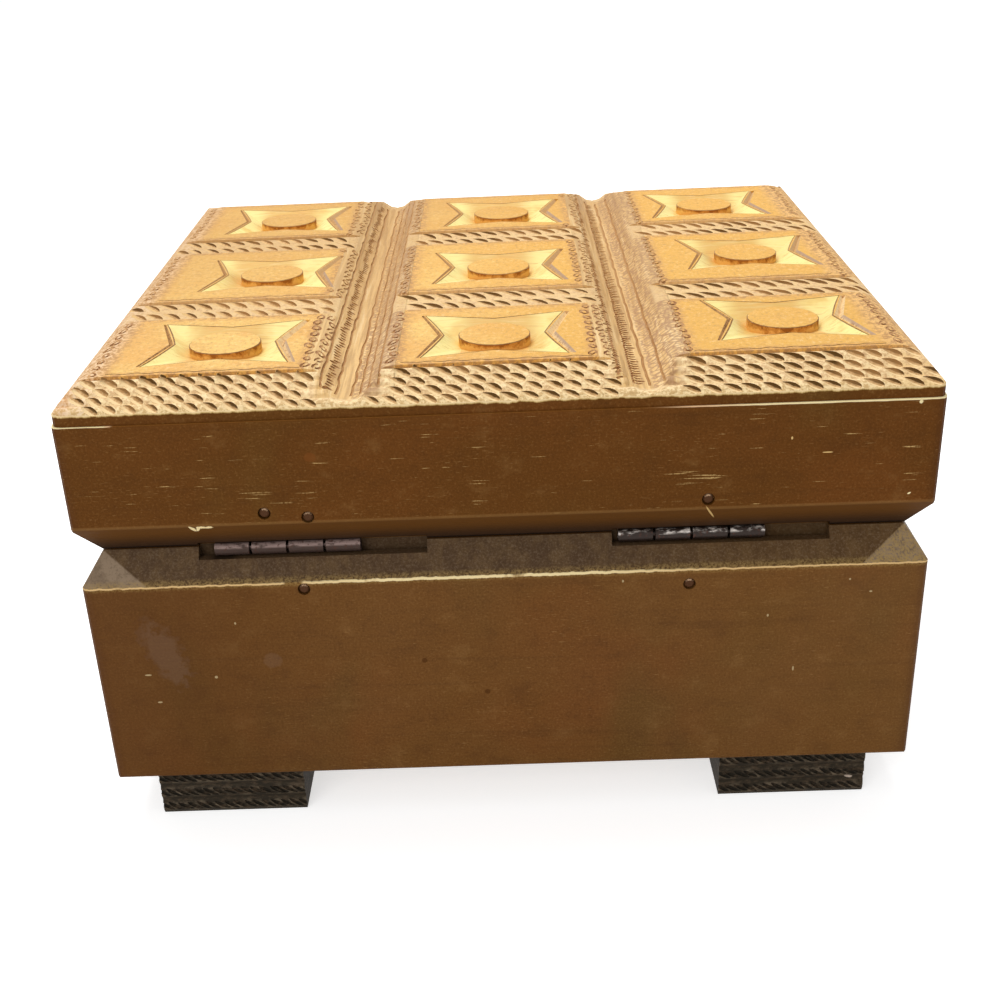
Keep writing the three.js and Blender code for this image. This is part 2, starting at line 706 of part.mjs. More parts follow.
HINGES.forEach((hinge) => {
  const baseLeaf = leafGeometry(hinge.baseBrads);
  addPart(base, `${hinge.side}_hinge_base_leaf`, baseLeaf, "hingeSteel")
    .position.set(hinge.x, AXIS_Y, AXIS_Z);

  const mirroredBrads = hinge.lidBrads.map(([x, reach]) => [-x, reach]);
  const lidLeaf = addPart(lid, `${hinge.side}_hinge_lid_leaf`, leafGeometry(mirroredBrads), "hingeSteel");
  lidLeaf.rotation.y = Math.PI;
  lidLeaf.position.set(hinge.x, AXIS_Y, AXIS_Z);

  addPart(base, `${hinge.side}_hinge_pin`, pinGeometry(), "hingeSteel")
    .position.set(hinge.x, AXIS_Y, AXIS_Z);

  addBrads(base, hinge, "base", hinge.baseBrads, -1);
  addBrads(lid, hinge, "lid", hinge.lidBrads, 1);
});

export default box;
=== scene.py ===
# A small wooden box with a hinged, chip-carved lid, seen from behind and a little above.
# Metres. X runs to the right seen from the front, the hinges are at +Y, Z is up.

import math
import random

import bmesh
import bpy
from mathutils import Matrix, Vector
from mathutils.bvhtree import BVHTree


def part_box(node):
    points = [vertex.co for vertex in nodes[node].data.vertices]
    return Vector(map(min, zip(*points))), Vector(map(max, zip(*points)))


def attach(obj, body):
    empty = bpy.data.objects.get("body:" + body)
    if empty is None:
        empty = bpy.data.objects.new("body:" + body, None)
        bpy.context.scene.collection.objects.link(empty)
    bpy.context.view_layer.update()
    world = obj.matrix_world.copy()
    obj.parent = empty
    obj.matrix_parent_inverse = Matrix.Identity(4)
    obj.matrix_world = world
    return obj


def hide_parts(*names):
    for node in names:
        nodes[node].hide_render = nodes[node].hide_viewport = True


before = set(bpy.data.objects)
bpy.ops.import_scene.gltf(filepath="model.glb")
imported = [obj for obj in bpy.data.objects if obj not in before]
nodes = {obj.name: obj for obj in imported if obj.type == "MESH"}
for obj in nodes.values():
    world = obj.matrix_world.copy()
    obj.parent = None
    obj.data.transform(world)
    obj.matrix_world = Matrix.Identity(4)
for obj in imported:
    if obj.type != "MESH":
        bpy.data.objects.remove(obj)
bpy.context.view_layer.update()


# Feet
# Four short blocks glued under the corners of the base and stained almost black. Three rope rows run
# along the outer face of each; a slanting gouge cut parts every strand from the next one.

FOOT_ROPE_ROWS = 3
FOOT_STRAND_PITCH = 0.0018
FOOT_STRAND_SLANT = math.radians(30)
FOOT_CUT = (0.0034, 0.0008, 0.0007)
FOOT_STAIN = (0.026, 0.019, 0.011)
FOOT_STAIN_LIGHT = (0.072, 0.048, 0.028)
FOOT_CREST_WORN = (0.21, 0.16, 0.105)
FOOT_CUT_DARK = (0.012, 0.009, 0.005)
FOOT_CHIP = (0.62, 0.5, 0.4)
FOOT_CHIP_SPOT = (-0.0648, 0.0034, 0.0009, 0.0004, 1.2, 0.8)
OUTSIDE = 0.09
BACK_FACE = 0.0725


class Finish:
    """A finish built up coat by coat over the place on the piece, in metres."""

    def __init__(self, name, ground):
        self.material = bpy.data.materials.new(name)
        self.material.use_nodes = True
        self.tree = self.material.node_tree
        self.shader = self.tree.nodes["Principled BSDF"]
        self.place = self.node("TexCoord").outputs["Object"]
        self.x, self.y, self.z = self.node("SeparateXYZ", {0: self.place}).outputs
        self.colour = (*ground, 1.0)

    def node(self, kind, inputs=None, **settings):
        """A shader node; each input is linked to a socket or given a value."""
        made = self.tree.nodes.new("ShaderNode" + kind)
        for setting, value in settings.items():
            setattr(made, setting, value)
        for socket, value in (inputs or {}).items():
            if isinstance(value, bpy.types.NodeSocket):
                self.tree.links.new(value, made.inputs[socket])
            else:
                made.inputs[socket].default_value = value
        return made

    def reckon(self, operation, first, second=0.0):
        """One step of arithmetic."""
        return self.node("Math", {0: first, 1: second}, operation=operation).outputs[0]

    def plus(self, first, second):
        """The sum."""
        return self.reckon("ADD", first, second)

    def less(self, first, second):
        """The first with the second taken off."""
        return self.reckon("SUBTRACT", first, second)

    def times(self, first, second):
        """The product, which is also where two shares are both high."""
        return self.reckon("MULTIPLY", first, second)

    def ramp(self, value, low, high):
        """0 at low and 1 at high, with a soft start and end."""
        inputs = {"Value": value, "From Min": low, "From Max": high}
        return self.node("MapRange", inputs, interpolation_type="SMOOTHSTEP").outputs[0]

    def strip(self, value, low, high, soft):
        """1 between low and high, and 0 outside."""
        rise = self.ramp(value, low - soft, low)
        return self.times(rise, self.ramp(value, high + soft, high))

    def stretched(self, scale):
        """The place, scaled along each axis."""
        return self.node("Mapping", {"Vector": self.place, "Scale": scale}).outputs[0]

    def grain(self, scale, detail=3.0, roughness=0.55):
        """Noise with its own number of waves per metre along each axis."""
        inputs = {"Vector": self.stretched(scale), "Scale": 1.0, "Detail": detail, "Roughness": roughness}
        return self.node("TexNoise", inputs).outputs[0]

    def from_middle(self, of_the_two):
        """The greater or the lesser of the distances from the box's two upright middle planes."""
        return self.reckon(of_the_two, self.reckon("ABSOLUTE", self.x), self.reckon("ABSOLUTE", self.y))

    def coat(self, share, colour, strength=1.0):
        """Lays a colour over what is there, as thick as its share times the strength."""
        if strength < 1.0:
            share = self.times(share, strength)
        inputs = {0: share, 6: self.colour, 7: (*colour, 1.0)}
        self.colour = self.node("Mix", inputs, data_type="RGBA").outputs[2]

    def lay(self, value, low, high, colour, strength=1.0):
        """A coat that grows from none where a value is low to all of it where it is high."""
        self.coat(self.ramp(value, low, high), colour, strength)

    def fleck(self, area, value, low, high, colour, strength=1.0):
        """The same, but only inside an area."""
        self.coat(self.times(area, self.ramp(value, low, high)), colour, strength)

    def marks(self, places):
        """Small marks on the back of the box, each a spot with its colour and strength."""
        for *place, colour, strength in places:
            self.coat(spot(self, *place), colour, strength)

    def done(self, relief, depth, rough, rough_from=None, **fixed):
        """Joins the coats to the shader; rough is one value, or the two that rough_from runs between."""
        self.tree.links.new(self.colour, self.shader.inputs["Base Color"])
        bump = self.node("Bump", {"Height": relief, "Distance": depth})
        self.tree.links.new(bump.outputs[0], self.shader.inputs["Normal"])
        if rough_from is None:
            self.shader.inputs["Roughness"].default_value = rough
        else:
            spread = self.node("MapRange", {"Value": rough_from, "To Min": rough[0], "To Max": rough[1]})
            self.tree.links.new(spread.outputs[0], self.shader.inputs["Roughness"])
        for name, value in fixed.items():
            self.shader.inputs[name.replace("_", " ")].default_value = value
        return self.material


def spot(finish, x, z, half_width, half_height, ragged=0.0, lean=0.0):
    """A soft round patch on the back of the box, which fades out at its half width and height."""
    above = finish.less(finish.z, z)
    middle = finish.plus(x, finish.times(above, lean))
    across = finish.reckon("DIVIDE", finish.less(finish.x, middle), half_width)
    up = finish.reckon("DIVIDE", above, half_height)
    square = finish.plus(finish.times(across, across), finish.times(up, up))
    if ragged:
        wander = finish.less(finish.grain((900, 900, 900)), 0.5)
        square = finish.plus(square, finish.times(wander, ragged))
    behind = finish.reckon("GREATER_THAN", finish.y, BACK_FACE)
    return finish.times(finish.ramp(square, 1.0, 0.45), behind)


def foot_finish(name, ground, worn):
    """Black-brown stain, rubbed back to lighter wood where the foot is handled."""
    finish = Finish(name, ground)
    fibres = finish.grain((500, 1100, 1300), detail=4.0, roughness=0.7)
    finish.lay(fibres, 0.46, 0.66, FOOT_STAIN_LIGHT)
    rubbed = finish.grain((300, 300, 520), detail=5.0, roughness=0.7)
    crest = finish.ramp(finish.reckon("ABSOLUTE", finish.y), 0.0727, 0.0733)
    finish.fleck(crest, rubbed, 0.45, 0.66, FOOT_CREST_WORN, worn)
    finish.coat(spot(finish, *FOOT_CHIP_SPOT), FOOT_CHIP)
    return finish.done(fibres, 0.00012, (0.5, 0.75), rubbed, Specular_IOR_Level=0.12)


def pick(*chosen):
    """Selects only these objects; the first is the active one."""
    bpy.ops.object.select_all(action="DESELECT")
    for piece in chosen:
        piece.select_set(True)
    bpy.context.view_layer.objects.active = chosen[0]


def stand(name, data):
    """A new object in the scene."""
    made = bpy.data.objects.new(name, data)
    bpy.context.scene.collection.objects.link(made)
    return made


def merge_corners(face_outwards=False):
    """Joins the corners of the active object that lie in one place."""
    bpy.ops.object.mode_set(mode="EDIT")
    bpy.ops.mesh.select_all(action="SELECT")
    bpy.ops.mesh.remove_doubles(threshold=1e-6)
    if face_outwards:
        bpy.ops.mesh.normals_make_consistent(inside=False)
    bpy.ops.object.mode_set(mode="OBJECT")


def carving_blank(node, name, body):
    """A copy of a board, with its triangles merged, that takes its place and its fine carving."""
    blank = stand(name, nodes[node].data.copy())
    pick(blank)
    bpy.ops.mesh.customdata_custom_splitnormals_clear()
    merge_corners()
    blank.data.materials.clear()
    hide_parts(node)
    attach(blank, body)
    return blank


def gouge(size, lean, finish):
    """The nose of a gouge: long and round, and leaning, so that one wall of its cut is steep."""
    bpy.ops.mesh.primitive_uv_sphere_add(segments=10, ring_count=7, radius=0.5)
    nose = bpy.context.object
    bpy.ops.object.mode_set(mode="EDIT")
    bpy.ops.transform.resize(value=size)
    bpy.ops.transform.rotate(value=lean, orient_axis="X", center_override=(0, 0, 0))
    bpy.ops.object.mode_set(mode="OBJECT")
    nose.data.materials.append(finish)
    return nose


def surface_of(piece):
    """The surface of a piece as it is now, for setting tools on it."""
    shape = bmesh.new()
    shape.from_mesh(piece.data)
    surface = BVHTree.FromBMesh(shape)
    shape.free()
    return surface


def strike(surface, tool, start, inward, along, size=1.0, sink=0.0):
    """A copy of the tool set into the surface that is met going inward from the start, or None."""
    place, outward, _, _ = surface.ray_cast(start, inward)
    if place is None:
        return None
    outward = (outward - inward).normalized()
    side = outward.cross(along).normalized()
    turned = Matrix((side.cross(outward), side, outward)).transposed().to_4x4()
    cut = stand("cut", tool.data.copy())
    cut.data.transform(Matrix.Translation(place - outward * sink) @ turned @ Matrix.Scale(size, 4))
    return cut


def carve(piece, cuts):
    """Takes all the cuts out of the piece at once."""
    pick(*cuts)
    if len(cuts) > 1:
        bpy.ops.object.join()
    cutter = bpy.context.object
    boolean = piece.modifiers.new("carving", "BOOLEAN")
    boolean.operation = "DIFFERENCE"
    boolean.solver = "MANIFOLD"
    boolean.material_mode = "TRANSFER"
    boolean.object = cutter
    pick(piece)
    bpy.ops.object.modifier_apply(modifier=boolean.name)
    bpy.data.objects.remove(cutter)


foot_wood = foot_finish("foot_wood", FOOT_STAIN, 0.9)
# The gouge cuts take a near-black ground, darker than the stained face.
foot_cut_wood = foot_finish("foot_cut_wood", FOOT_CUT_DARK, 0.0)
foot_gouge = gouge(FOOT_CUT, math.radians(-25), foot_cut_wood)
foot_hand = random.Random(11)
for end, outward in (("back", 1), ("front", -1)):
    for side in ("left", "right"):
        foot = carving_blank(f"foot_{end}_{side}", f"carved_foot_{end}_{side}", "base")
        foot.data.materials.append(foot_wood)
        foot_surface = surface_of(foot)
        low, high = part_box(f"foot_{end}_{side}")
        row_height = (high.z - low.z) / FOOT_ROPE_ROWS
        foot_cuts = []
        for row in range(FOOT_ROPE_ROWS):
            shift = row * row_height / math.tan(FOOT_STRAND_SLANT)
            strands = int((high.x - low.x) / FOOT_STRAND_PITCH) + 1
            for strand in range(strands):
                x = low.x + (strand * FOOT_STRAND_PITCH + shift) % (high.x - low.x)
                x += foot_hand.uniform(-0.00012, 0.00012)
                z = low.z + (row + 0.5) * row_height
                slant = FOOT_STRAND_SLANT + foot_hand.uniform(-0.08, 0.08)
                foot_cuts.append(strike(
                    foot_surface, foot_gouge,
                    Vector((x, outward * OUTSIDE, z)), Vector((0, -outward, 0)),
                    Vector((outward * math.cos(slant), 0, math.sin(slant))),
                    size=foot_hand.uniform(0.9, 1.1), sink=0.0001,
                ))
        carve(foot, [cut for cut in foot_cuts if cut])
        bpy.ops.object.shade_smooth_by_angle(angle=math.radians(30))
bpy.data.objects.remove(foot_gouge)


# Base walls
# Four boards, mitred and glued round the floor, stained brown and varnished. A wide bevel runs round
# the top edge under the lid, where dust has settled; its lower edge is rubbed through to pale wood.
# Painted light makes the bevel's corners paler, and painted shade darkens the hinges' rebates in it.

BEVEL_HEIGHT = 0.00585
BEVEL_SLOPE = 0.00405 / BEVEL_HEIGHT
STAIN_BROWN = (0.172, 0.07, 0.013)
STAIN_RED = (0.19, 0.06, 0.01)
STAIN_OLIVE = (0.14, 0.066, 0.012)
STAIN_GRAIN = (0.085, 0.03, 0.005)
FADED_DASH = (0.4, 0.215, 0.07)
WORN_FLECK = (0.78, 0.52, 0.2)
WORN_EDGE = (0.84, 0.56, 0.25)
WORN_BRIGHT = (1.0, 0.8, 0.43)
DARK_RED = (0.09, 0.03, 0.006)
DUST = (0.088, 0.049, 0.024)
DUST_GREY = (0.145, 0.085, 0.038)
PALE_DUST_AND_PAINTED_LIGHT = (0.35, 0.255, 0.17)
GOLD_DUST_AND_PAINTED_LIGHT = (0.42, 0.27, 0.085)
DARK_SPECK_AND_RECESS_SHADE = (0.014, 0.008, 0.005)
BARE_WOOD = (0.5, 0.31, 0.14)
WATER_MARK = (0.3, 0.2, 0.14)
INNER_FACE = 0.0657
COVERED = 0.0708
HALF_SIDE = 0.075
BASE_MARKS = (
    (0.062, 0.0378, 0.0046, 0.0088, 1.6, 0.3, DARK_RED, 0.25),
    (0.062, 0.037, 0.0041, 0.008, 2.4, 0.3, WATER_MARK, 0.08),
    (0.0618, 0.0366, 0.003, 0.0066, 2.4, 0.3, WATER_MARK, 0.09),
    (0.0426, 0.0347, 0.002, 0.0018, 1.0, WATER_MARK, 0.12),
    (0.015, 0.0337, 0.0006, 0.0006, STAIN_GRAIN, 0.8),
    (0.0038, 0.0266, 0.0006, 0.0006, STAIN_GRAIN, 0.8),
)
PALE_NICKS = (
    (-0.0522, 0.0294, 0.0002, 0.0006), (-0.0612, 0.0475, 0.0002, 0.0002), (-0.0651, 0.0449, 0.0003, 0.0002),
    (-0.047, 0.0407, 0.0002, 0.0003), (-0.021, 0.0486, 0.0002, 0.0003), (0.0533, 0.0316, 0.0003, 0.0003),
    (0.0485, 0.0427, 0.0002, 0.0003), (0.0656, 0.0325, 0.0007, 0.0002), (0.0643, 0.0266, 0.0005, 0.0002),
)
LEFT_REBATE_END = (0.0485, 0.0508)
WORN_LINE_NOTCH = (0.036, 0.0386)


def varnished_board(name, along_x, ground):
    """Brown varnish over level grain, with short pale dashes where it has thinned; painted shade at the
    corners.
    """
    finish = Finish(name, ground)
    long, cross = (22, 700) if along_x else (700, 22)
    clouds = finish.grain((24, 24, 34), detail=3.0)
    finish.lay(clouds, 0.45, 0.7, STAIN_RED, 0.5)
    patches = finish.grain((38, 38, 26), detail=3.0)
    finish.lay(patches, 0.5, 0.74, STAIN_OLIVE, 0.8)
    finish.lines = finish.grain((long, cross, 900), detail=4.0, roughness=0.62)
    finish.lay(finish.lines, 0.5, 0.8, STAIN_GRAIN, 0.35)
    finish.specks = finish.grain((2400, 2400, 2400), detail=4.0, roughness=0.75)
    finish.lay(finish.specks, 0.44, 0.7, STAIN_GRAIN, 0.6)
    finish.lay(finish.specks, 0.46, 0.3, FADED_DASH, 0.26)
    mottling = finish.grain((170, 170, 210), detail=5.0, roughness=0.7)
    finish.lay(mottling, 0.5, 0.72, STAIN_GRAIN, 0.4)
    finish.lay(mottling, 0.46, 0.28, FADED_DASH, 0.14)
    # Painted shade: darker towards the upright corners, where the faces turn away from the light.
    finish.lay(finish.from_middle("MINIMUM"), 0.0722, 0.0752, DARK_RED, 0.75)
    return finish


def lay_dashes(finish, along_x, scuffs=()):
    """Short pale dashes along the grain, brightest in the scuffs: x, z, half width, half height."""
    long, cross = (640, 2600) if along_x else (2600, 640)
    dashes = finish.grain((long, cross, 4600), detail=2.0)
    thickness = finish.grain((40, 40, 70), detail=2.0)
    limit = finish.less(0.755, finish.times(thickness, 0.22))
    faded = finish.times(finish.less(dashes, limit), 9.0)
    finish.coat(finish.node("Clamp", {0: faded}).outputs[0], FADED_DASH, 0.5)
    scratches = finish.grain((150, 150, 3600), detail=3.0)
    for x, z, half_width, half_height in scuffs:
        near = finish.times(spot(finish, x, z, half_width, half_height), 0.1)
        bright = finish.less(finish.plus(scratches, near), 0.69)
        bright = finish.node("Clamp", {0: finish.times(bright, 14.0)}).outputs[0]
        finish.fleck(bright, finish.specks, 0.66, 0.44, WORN_FLECK, 0.7)


def bare_inside(finish):
    """Inside the box the boards were never varnished."""
    finish.coat(finish.reckon("LESS_THAN", finish.from_middle("MAXIMUM"), INNER_FACE), BARE_WOOD)


def lay_dust_and_painted_light(finish, edge_z):
    """Dust on the bevel, made paler at its corners by painted light, and dark in the hinges' rebates by
    painted shade.
    """
    dusty = finish.ramp(finish.z, edge_z, edge_z + 0.0003)
    finish.coat(dusty, DUST)
    clouds = finish.grain((420, 420, 160), detail=5.0, roughness=0.65)
    finish.fleck(dusty, clouds, 0.38, 0.66, DUST_GREY, 0.75)
    # Painted light: past a slanting line at each corner the bevel is paler, as if lit past the lid's ends,
    # with gold specks at the -X corners.
    reach = finish.times(finish.less(finish.z, edge_z), 1.35)
    corner = finish.less(finish.from_middle("MINIMUM"), reach)
    painted_light_corner = finish.times(dusty, finish.ramp(corner, 0.0628, 0.0634))
    finish.fleck(dusty, finish.x, -0.015, -0.045, STAIN_OLIVE, 0.25)
    finish.coat(painted_light_corner, PALE_DUST_AND_PAINTED_LIGHT, 0.52)
    finish.fleck(painted_light_corner, clouds, 0.42, 0.6, PALE_DUST_AND_PAINTED_LIGHT, 0.6)
    golden_side = finish.times(painted_light_corner, finish.ramp(finish.x, 0.0, -0.03))
    finish.fleck(golden_side, finish.specks, 0.6, 0.38, GOLD_DUST_AND_PAINTED_LIGHT, 0.8)
    finish.fleck(dusty, finish.specks, 0.52, 0.34, PALE_DUST_AND_PAINTED_LIGHT, 0.2)
    finish.fleck(dusty, finish.specks, 0.52, 0.7, DARK_SPECK_AND_RECESS_SHADE, 0.3)
    # Painted shade: where the hinges' rebates sink below the bevel they darken in clouds, and all over by
    # the end of the left hinge.
    bevel_edge = finish.less(HALF_SIDE, finish.times(finish.less(finish.z, edge_z), BEVEL_SLOPE))
    sunk = finish.less(bevel_edge, finish.from_middle("MAXIMUM"))
    sunk = finish.times(dusty, finish.ramp(sunk, 0.00006, 0.00014))
    finish.fleck(sunk, clouds, 0.4, 0.6, DARK_SPECK_AND_RECESS_SHADE, 0.3)
    at_back = finish.reckon("GREATER_THAN", finish.y, 0.0)
    painted_shade_by_left_hinge = finish.times(finish.strip(finish.x, *LEFT_REBATE_END, 0.002), at_back)
    finish.coat(finish.times(sunk, painted_shade_by_left_hinge), DARK_SPECK_AND_RECESS_SHADE, 0.8)


def base_wall_finish(name, along_x):
    """Varnish, dust with painted light and shade on the bevel, and the worn line along the bevel's lower
    edge.
    """
    finish = varnished_board(name, along_x, STAIN_BROWN)
    rim_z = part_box("base_back_wall")[1].z
    edge_z = rim_z - BEVEL_HEIGHT
    lay_dashes(finish, along_x)
    finish.coat(finish.grain((30, 30, 24)), WATER_MARK, 0.08)
    finish.lay(finish.x, 0.02, 0.066, DARK_RED, 0.42)
    finish.lay(finish.x, -0.015, -0.06, FADED_DASH, 0.05)
    finish.marks(BASE_MARKS)
    finish.marks((*nick, 0.8, WORN_BRIGHT, 0.4) for nick in PALE_NICKS)
    lay_dust_and_painted_light(finish, edge_z)
    covered = finish.reckon("LESS_THAN", finish.from_middle("MAXIMUM"), COVERED)
    finish.fleck(covered, finish.z, rim_z - 0.0002, rim_z, STAIN_BROWN, 0.75)
    wander = finish.times(finish.grain((700, 700, 0), detail=4.0), 0.0005)
    height = finish.plus(finish.less(finish.z, edge_z + 0.00025), wander)
    sideways = finish.reckon("ABSOLUTE", finish.less(finish.x, 0.004))
    middle = finish.ramp(sideways, 0.044, 0.016)
    powder = finish.strip(height, 0.0, 0.0005, 0.0009)
    finish.fleck(powder, finish.specks, 0.62, 0.4, GOLD_DUST_AND_PAINTED_LIGHT, 0.5)
    thin_line = finish.strip(height, -0.00005, 0.00009, 0.00014)
    notch = finish.strip(finish.x, *WORN_LINE_NOTCH, 0.0006)
    unbroken = finish.ramp(finish.grain((260, 260, 0), detail=4.0), 0.24, 0.42)
    unbroken = finish.times(unbroken, finish.less(1.0, notch))
    finish.coat(finish.times(thin_line, unbroken), WORN_EDGE, 0.95)
    bright_line = finish.times(finish.strip(height, -0.0001, 0.00022, 0.00014), middle)
    finish.coat(finish.times(bright_line, unbroken), WORN_BRIGHT)
    bare_inside(finish)
    return finish.done(finish.lines, 0.0001, (0.45, 0.62), finish.specks, Specular_IOR_Level=0.06)


def finish_frame(part, board, make_finish):
    """One finish for the two boards of a frame along X, and one for the two along Y."""
    for axis, sides in (("x", ("back", "front")), ("y", ("left", "right"))):
        finish = make_finish(f"{part}_wood_along_{axis}", axis == "x")
        for side in sides:
            nodes[f"{part}_{side}_{board}"].material_slots[0].material = finish


finish_frame("base", "wall", base_wall_finish)


# Base floor
# A thin plain board let into a rebate under the walls. It was left bare, so it is paler than they are.

FLOOR_WOOD = (0.44, 0.27, 0.125)
FLOOR_GRAIN = (0.3, 0.165, 0.07)

floor_finish = Finish("floor_wood", FLOOR_WOOD)
floor_lines = floor_finish.grain((14, 420, 420), detail=5.0)
floor_finish.lay(floor_lines, 0.42, 0.66, FLOOR_GRAIN)
floor_wood = floor_finish.done(floor_lines, 0.00012, 0.62)
nodes["base_floor"].material_slots[0].material = floor_wood


# Hinges
# Two small butt hinges bent from thin steel, with rolled knuckles on a steel pin. Their leaves are
# pushed into saw cuts in the edges of the back boards. The steel is dull, brown and spotted.

HINGE_DULL_HIGHLIGHT = (0.24, 0.165, 0.145)
HINGE_TARNISH = (0.045, 0.024, 0.017)
HINGE_BRIGHT_HIGHLIGHT = (0.6, 0.54, 0.49)
HINGE_BLACK = (0.022, 0.012, 0.008)
HINGE_RUST = (0.06, 0.02, 0.01)


def hinge_finish(name, ground, rubbed, patches, rough):
    """Cheap steel sheet: tarnished in the hollows, and a painted highlight in streaks along the upper side
    of the barrel.
    """
    finish = Finish(name, ground)
    up = finish.node("SeparateXYZ", {0: finish.node("TexCoord").outputs["Normal"]}).outputs["Z"]
    streaks = finish.grain((500, 1300, 1300), detail=4.0, roughness=0.65)
    # Painted highlight: streaks of lighter steel where the faces of the barrel turn upwards.
    finish.fleck(finish.strip(up, 0.38, 0.86, 0.14), streaks, *patches, rubbed)
    finish.lay(finish.grain((1500, 1500, 1500), detail=4.0), 0.56, 0.68, HINGE_RUST, 0.85)
    return finish.done(streaks, 0.00008, rough, streaks, Metallic=0.55)


right_steel = hinge_finish("hinge_steel_dull", HINGE_TARNISH, HINGE_DULL_HIGHLIGHT, (0.34, 0.52), (0.5, 0.7))
left_steel = hinge_finish("hinge_steel_dark", HINGE_BLACK, HINGE_BRIGHT_HIGHLIGHT, (0.46, 0.66), (0.35, 0.5))
for side, steel in (("right", right_steel), ("left", left_steel)):
    for part in ("base_leaf", "lid_leaf", "pin"):
        nodes[f"{side}_hinge_{part}"].material_slots[0].material = steel


# Brads
# Cut steel brads driven through the boards from behind, to pin the hinge leaves. Their heads were
# stained with the box; a painted highlight lightens the upper side of their rims.

BRAD_STAINED = (0.085, 0.034, 0.013)
BRAD_GLINT = (0.62, 0.4, 0.24)

brad_finish = Finish("brad_steel", BRAD_STAINED)
brad_patches = brad_finish.grain((900, 900, 900), detail=3.0)
brad_facing = brad_finish.node("TexCoord").outputs["Normal"]
brad_slope = brad_finish.node("SeparateXYZ", {0: brad_facing}).outputs["Z"]
# Painted highlight: the faces of the heads that turn upwards are lighter, in patches.
brad_highlight_share = brad_finish.plus(brad_slope, brad_finish.times(brad_patches, 0.5))
brad_finish.lay(brad_highlight_share, 0.56, 0.8, BRAD_GLINT)
brad_steel = brad_finish.done(brad_patches, 0.00012, 0.6, Specular_IOR_Level=0.1)
for name, node in nodes.items():
    if "_brad_" in name:
        node.material_slots[0].material = brad_steel


# Lid rails
# Four mitred boards that make the lid's frame, stained and varnished like the base. A chamfer runs
# round the lower edge. Under the top board, bare wood shows in a line at both ends of the back.

CHAMFER_HEIGHT = 0.00565
LID_BROWN = (0.133, 0.047, 0.0065)
CHAMFER_BROWN = (0.115, 0.044, 0.008)
CHAMFER_SHADE = (0.04, 0.019, 0.009)
CHAMFER_DEEP_SHADE = (0.01, 0.005, 0.003)
SEAM_PALE = (1.0, 0.84, 0.46)
SEAM_PINK = (0.9, 0.58, 0.32)
LEDGE_PAINTED_LIGHT_BROWN = (0.26, 0.1, 0.016)
SEAM_LEFT_END = 0.064
SEAM_RIGHT_START = -0.022
SEAM_FROM_Y = 0.07
SCUFFS = ((0.0375, 0.0669, 0.009, 0.0026), (-0.032, 0.0682, 0.008, 0.0018))
LID_MARKS = (
    (0.0515, 0.0617, 0.0014, 0.00034, 3.4, WORN_BRIGHT, 1.0),
    (0.0537, 0.0613, 0.00045, 0.0008, 3.0, 0.5, WORN_BRIGHT, 1.0),
    (0.0528, 0.0612, 0.00035, 0.0006, 2.0, -0.4, WORN_BRIGHT, 1.0),
    (-0.0361, 0.0611, 0.00022, 0.0017, 0.5, 0.55, WORN_FLECK, 0.8),
    (-0.0704, 0.0804, 0.0004, 0.0004, 1.6, SEAM_PALE, 1.0),
    (-0.07, 0.0638, 0.0003, 0.00024, 1.0, -0.8, SEAM_PALE, 1.0),
    (-0.0493, 0.0747, 0.00018, 0.0003, 1.0, WORN_FLECK, 1.0),
    (-0.0555, 0.0719, 0.001, 0.00014, 1.0, WORN_FLECK, 1.0),
)


def lid_rail_finish(name, along_x):
    """Varnish, the chamfer darkened by painted shade, scuffs and the pale seam."""
    finish = varnished_board(name, along_x, LID_BROWN)
    low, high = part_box("lid_back_rail")
    lay_dashes(finish, along_x, SCUFFS)
    finish.coat(spot(finish, 0.032, 0.0742, 0.0012, 0.001, 1.0), STAIN_RED, 0.7)
    arris = low.z + CHAMFER_HEIGHT
    finish.lay(finish.z, arris + 0.0002, arris - 0.0003, CHAMFER_BROWN)
    # Painted shade: the chamfer darkens towards its lower edge, nearly to black.
    finish.lay(finish.z, arris - 0.0012, low.z + 0.0004, CHAMFER_SHADE)
    finish.lay(finish.z, low.z + 0.0006, low.z + 0.0001, CHAMFER_DEEP_SHADE)
    covered = finish.reckon("LESS_THAN", finish.from_middle("MAXIMUM"), COVERED)
    finish.fleck(covered, finish.z, low.z + 0.0002, low.z, STAIN_BROWN, 0.75)
    finish.coat(finish.strip(finish.z, arris - 0.0001, arris + 0.0002, 0.0003), FADED_DASH, 0.22)
    finish.marks(LID_MARKS)
    right_end = finish.ramp(finish.x, SEAM_RIGHT_START, SEAM_RIGHT_START - 0.03)
    ends = finish.reckon("MAXIMUM", finish.ramp(finish.x, SEAM_LEFT_END, SEAM_LEFT_END + 0.003), right_end)
    wander = finish.times(finish.grain((300, 300, 0)), 0.00022)
    reach = finish.plus(wander, finish.times(right_end, 0.00014))
    below = finish.less(finish.less(high.z, finish.z), reach)
    behind = finish.reckon("GREATER_THAN", finish.y, SEAM_FROM_Y)
    seam = finish.times(finish.ramp(below, 0.00006, -0.00004), behind)
    # Painted light: a lighter brown along the top of the rail, where the step under the top board casts a
    # shadow line.
    finish.lay(finish.z, high.z - 0.00008, high.z, LEDGE_PAINTED_LIGHT_BROWN)
    finish.fleck(seam, ends, 0.0, 0.3, SEAM_PINK)
    finish.fleck(seam, ends, 0.3, 0.9, SEAM_PALE)
    bare_inside(finish)
    return finish.done(finish.lines, 0.0001, (0.42, 0.6), finish.specks, Specular_IOR_Level=0.06)


finish_frame("lid", "rail", lid_rail_finish)


# Carved top board
# One board of pale wood, glued on the lid's frame. Nine chip-cut stars with round bosses are cut in
# smooth fields. Rope rows, punched loops and hatched columns fill the borders, bands and grooves.

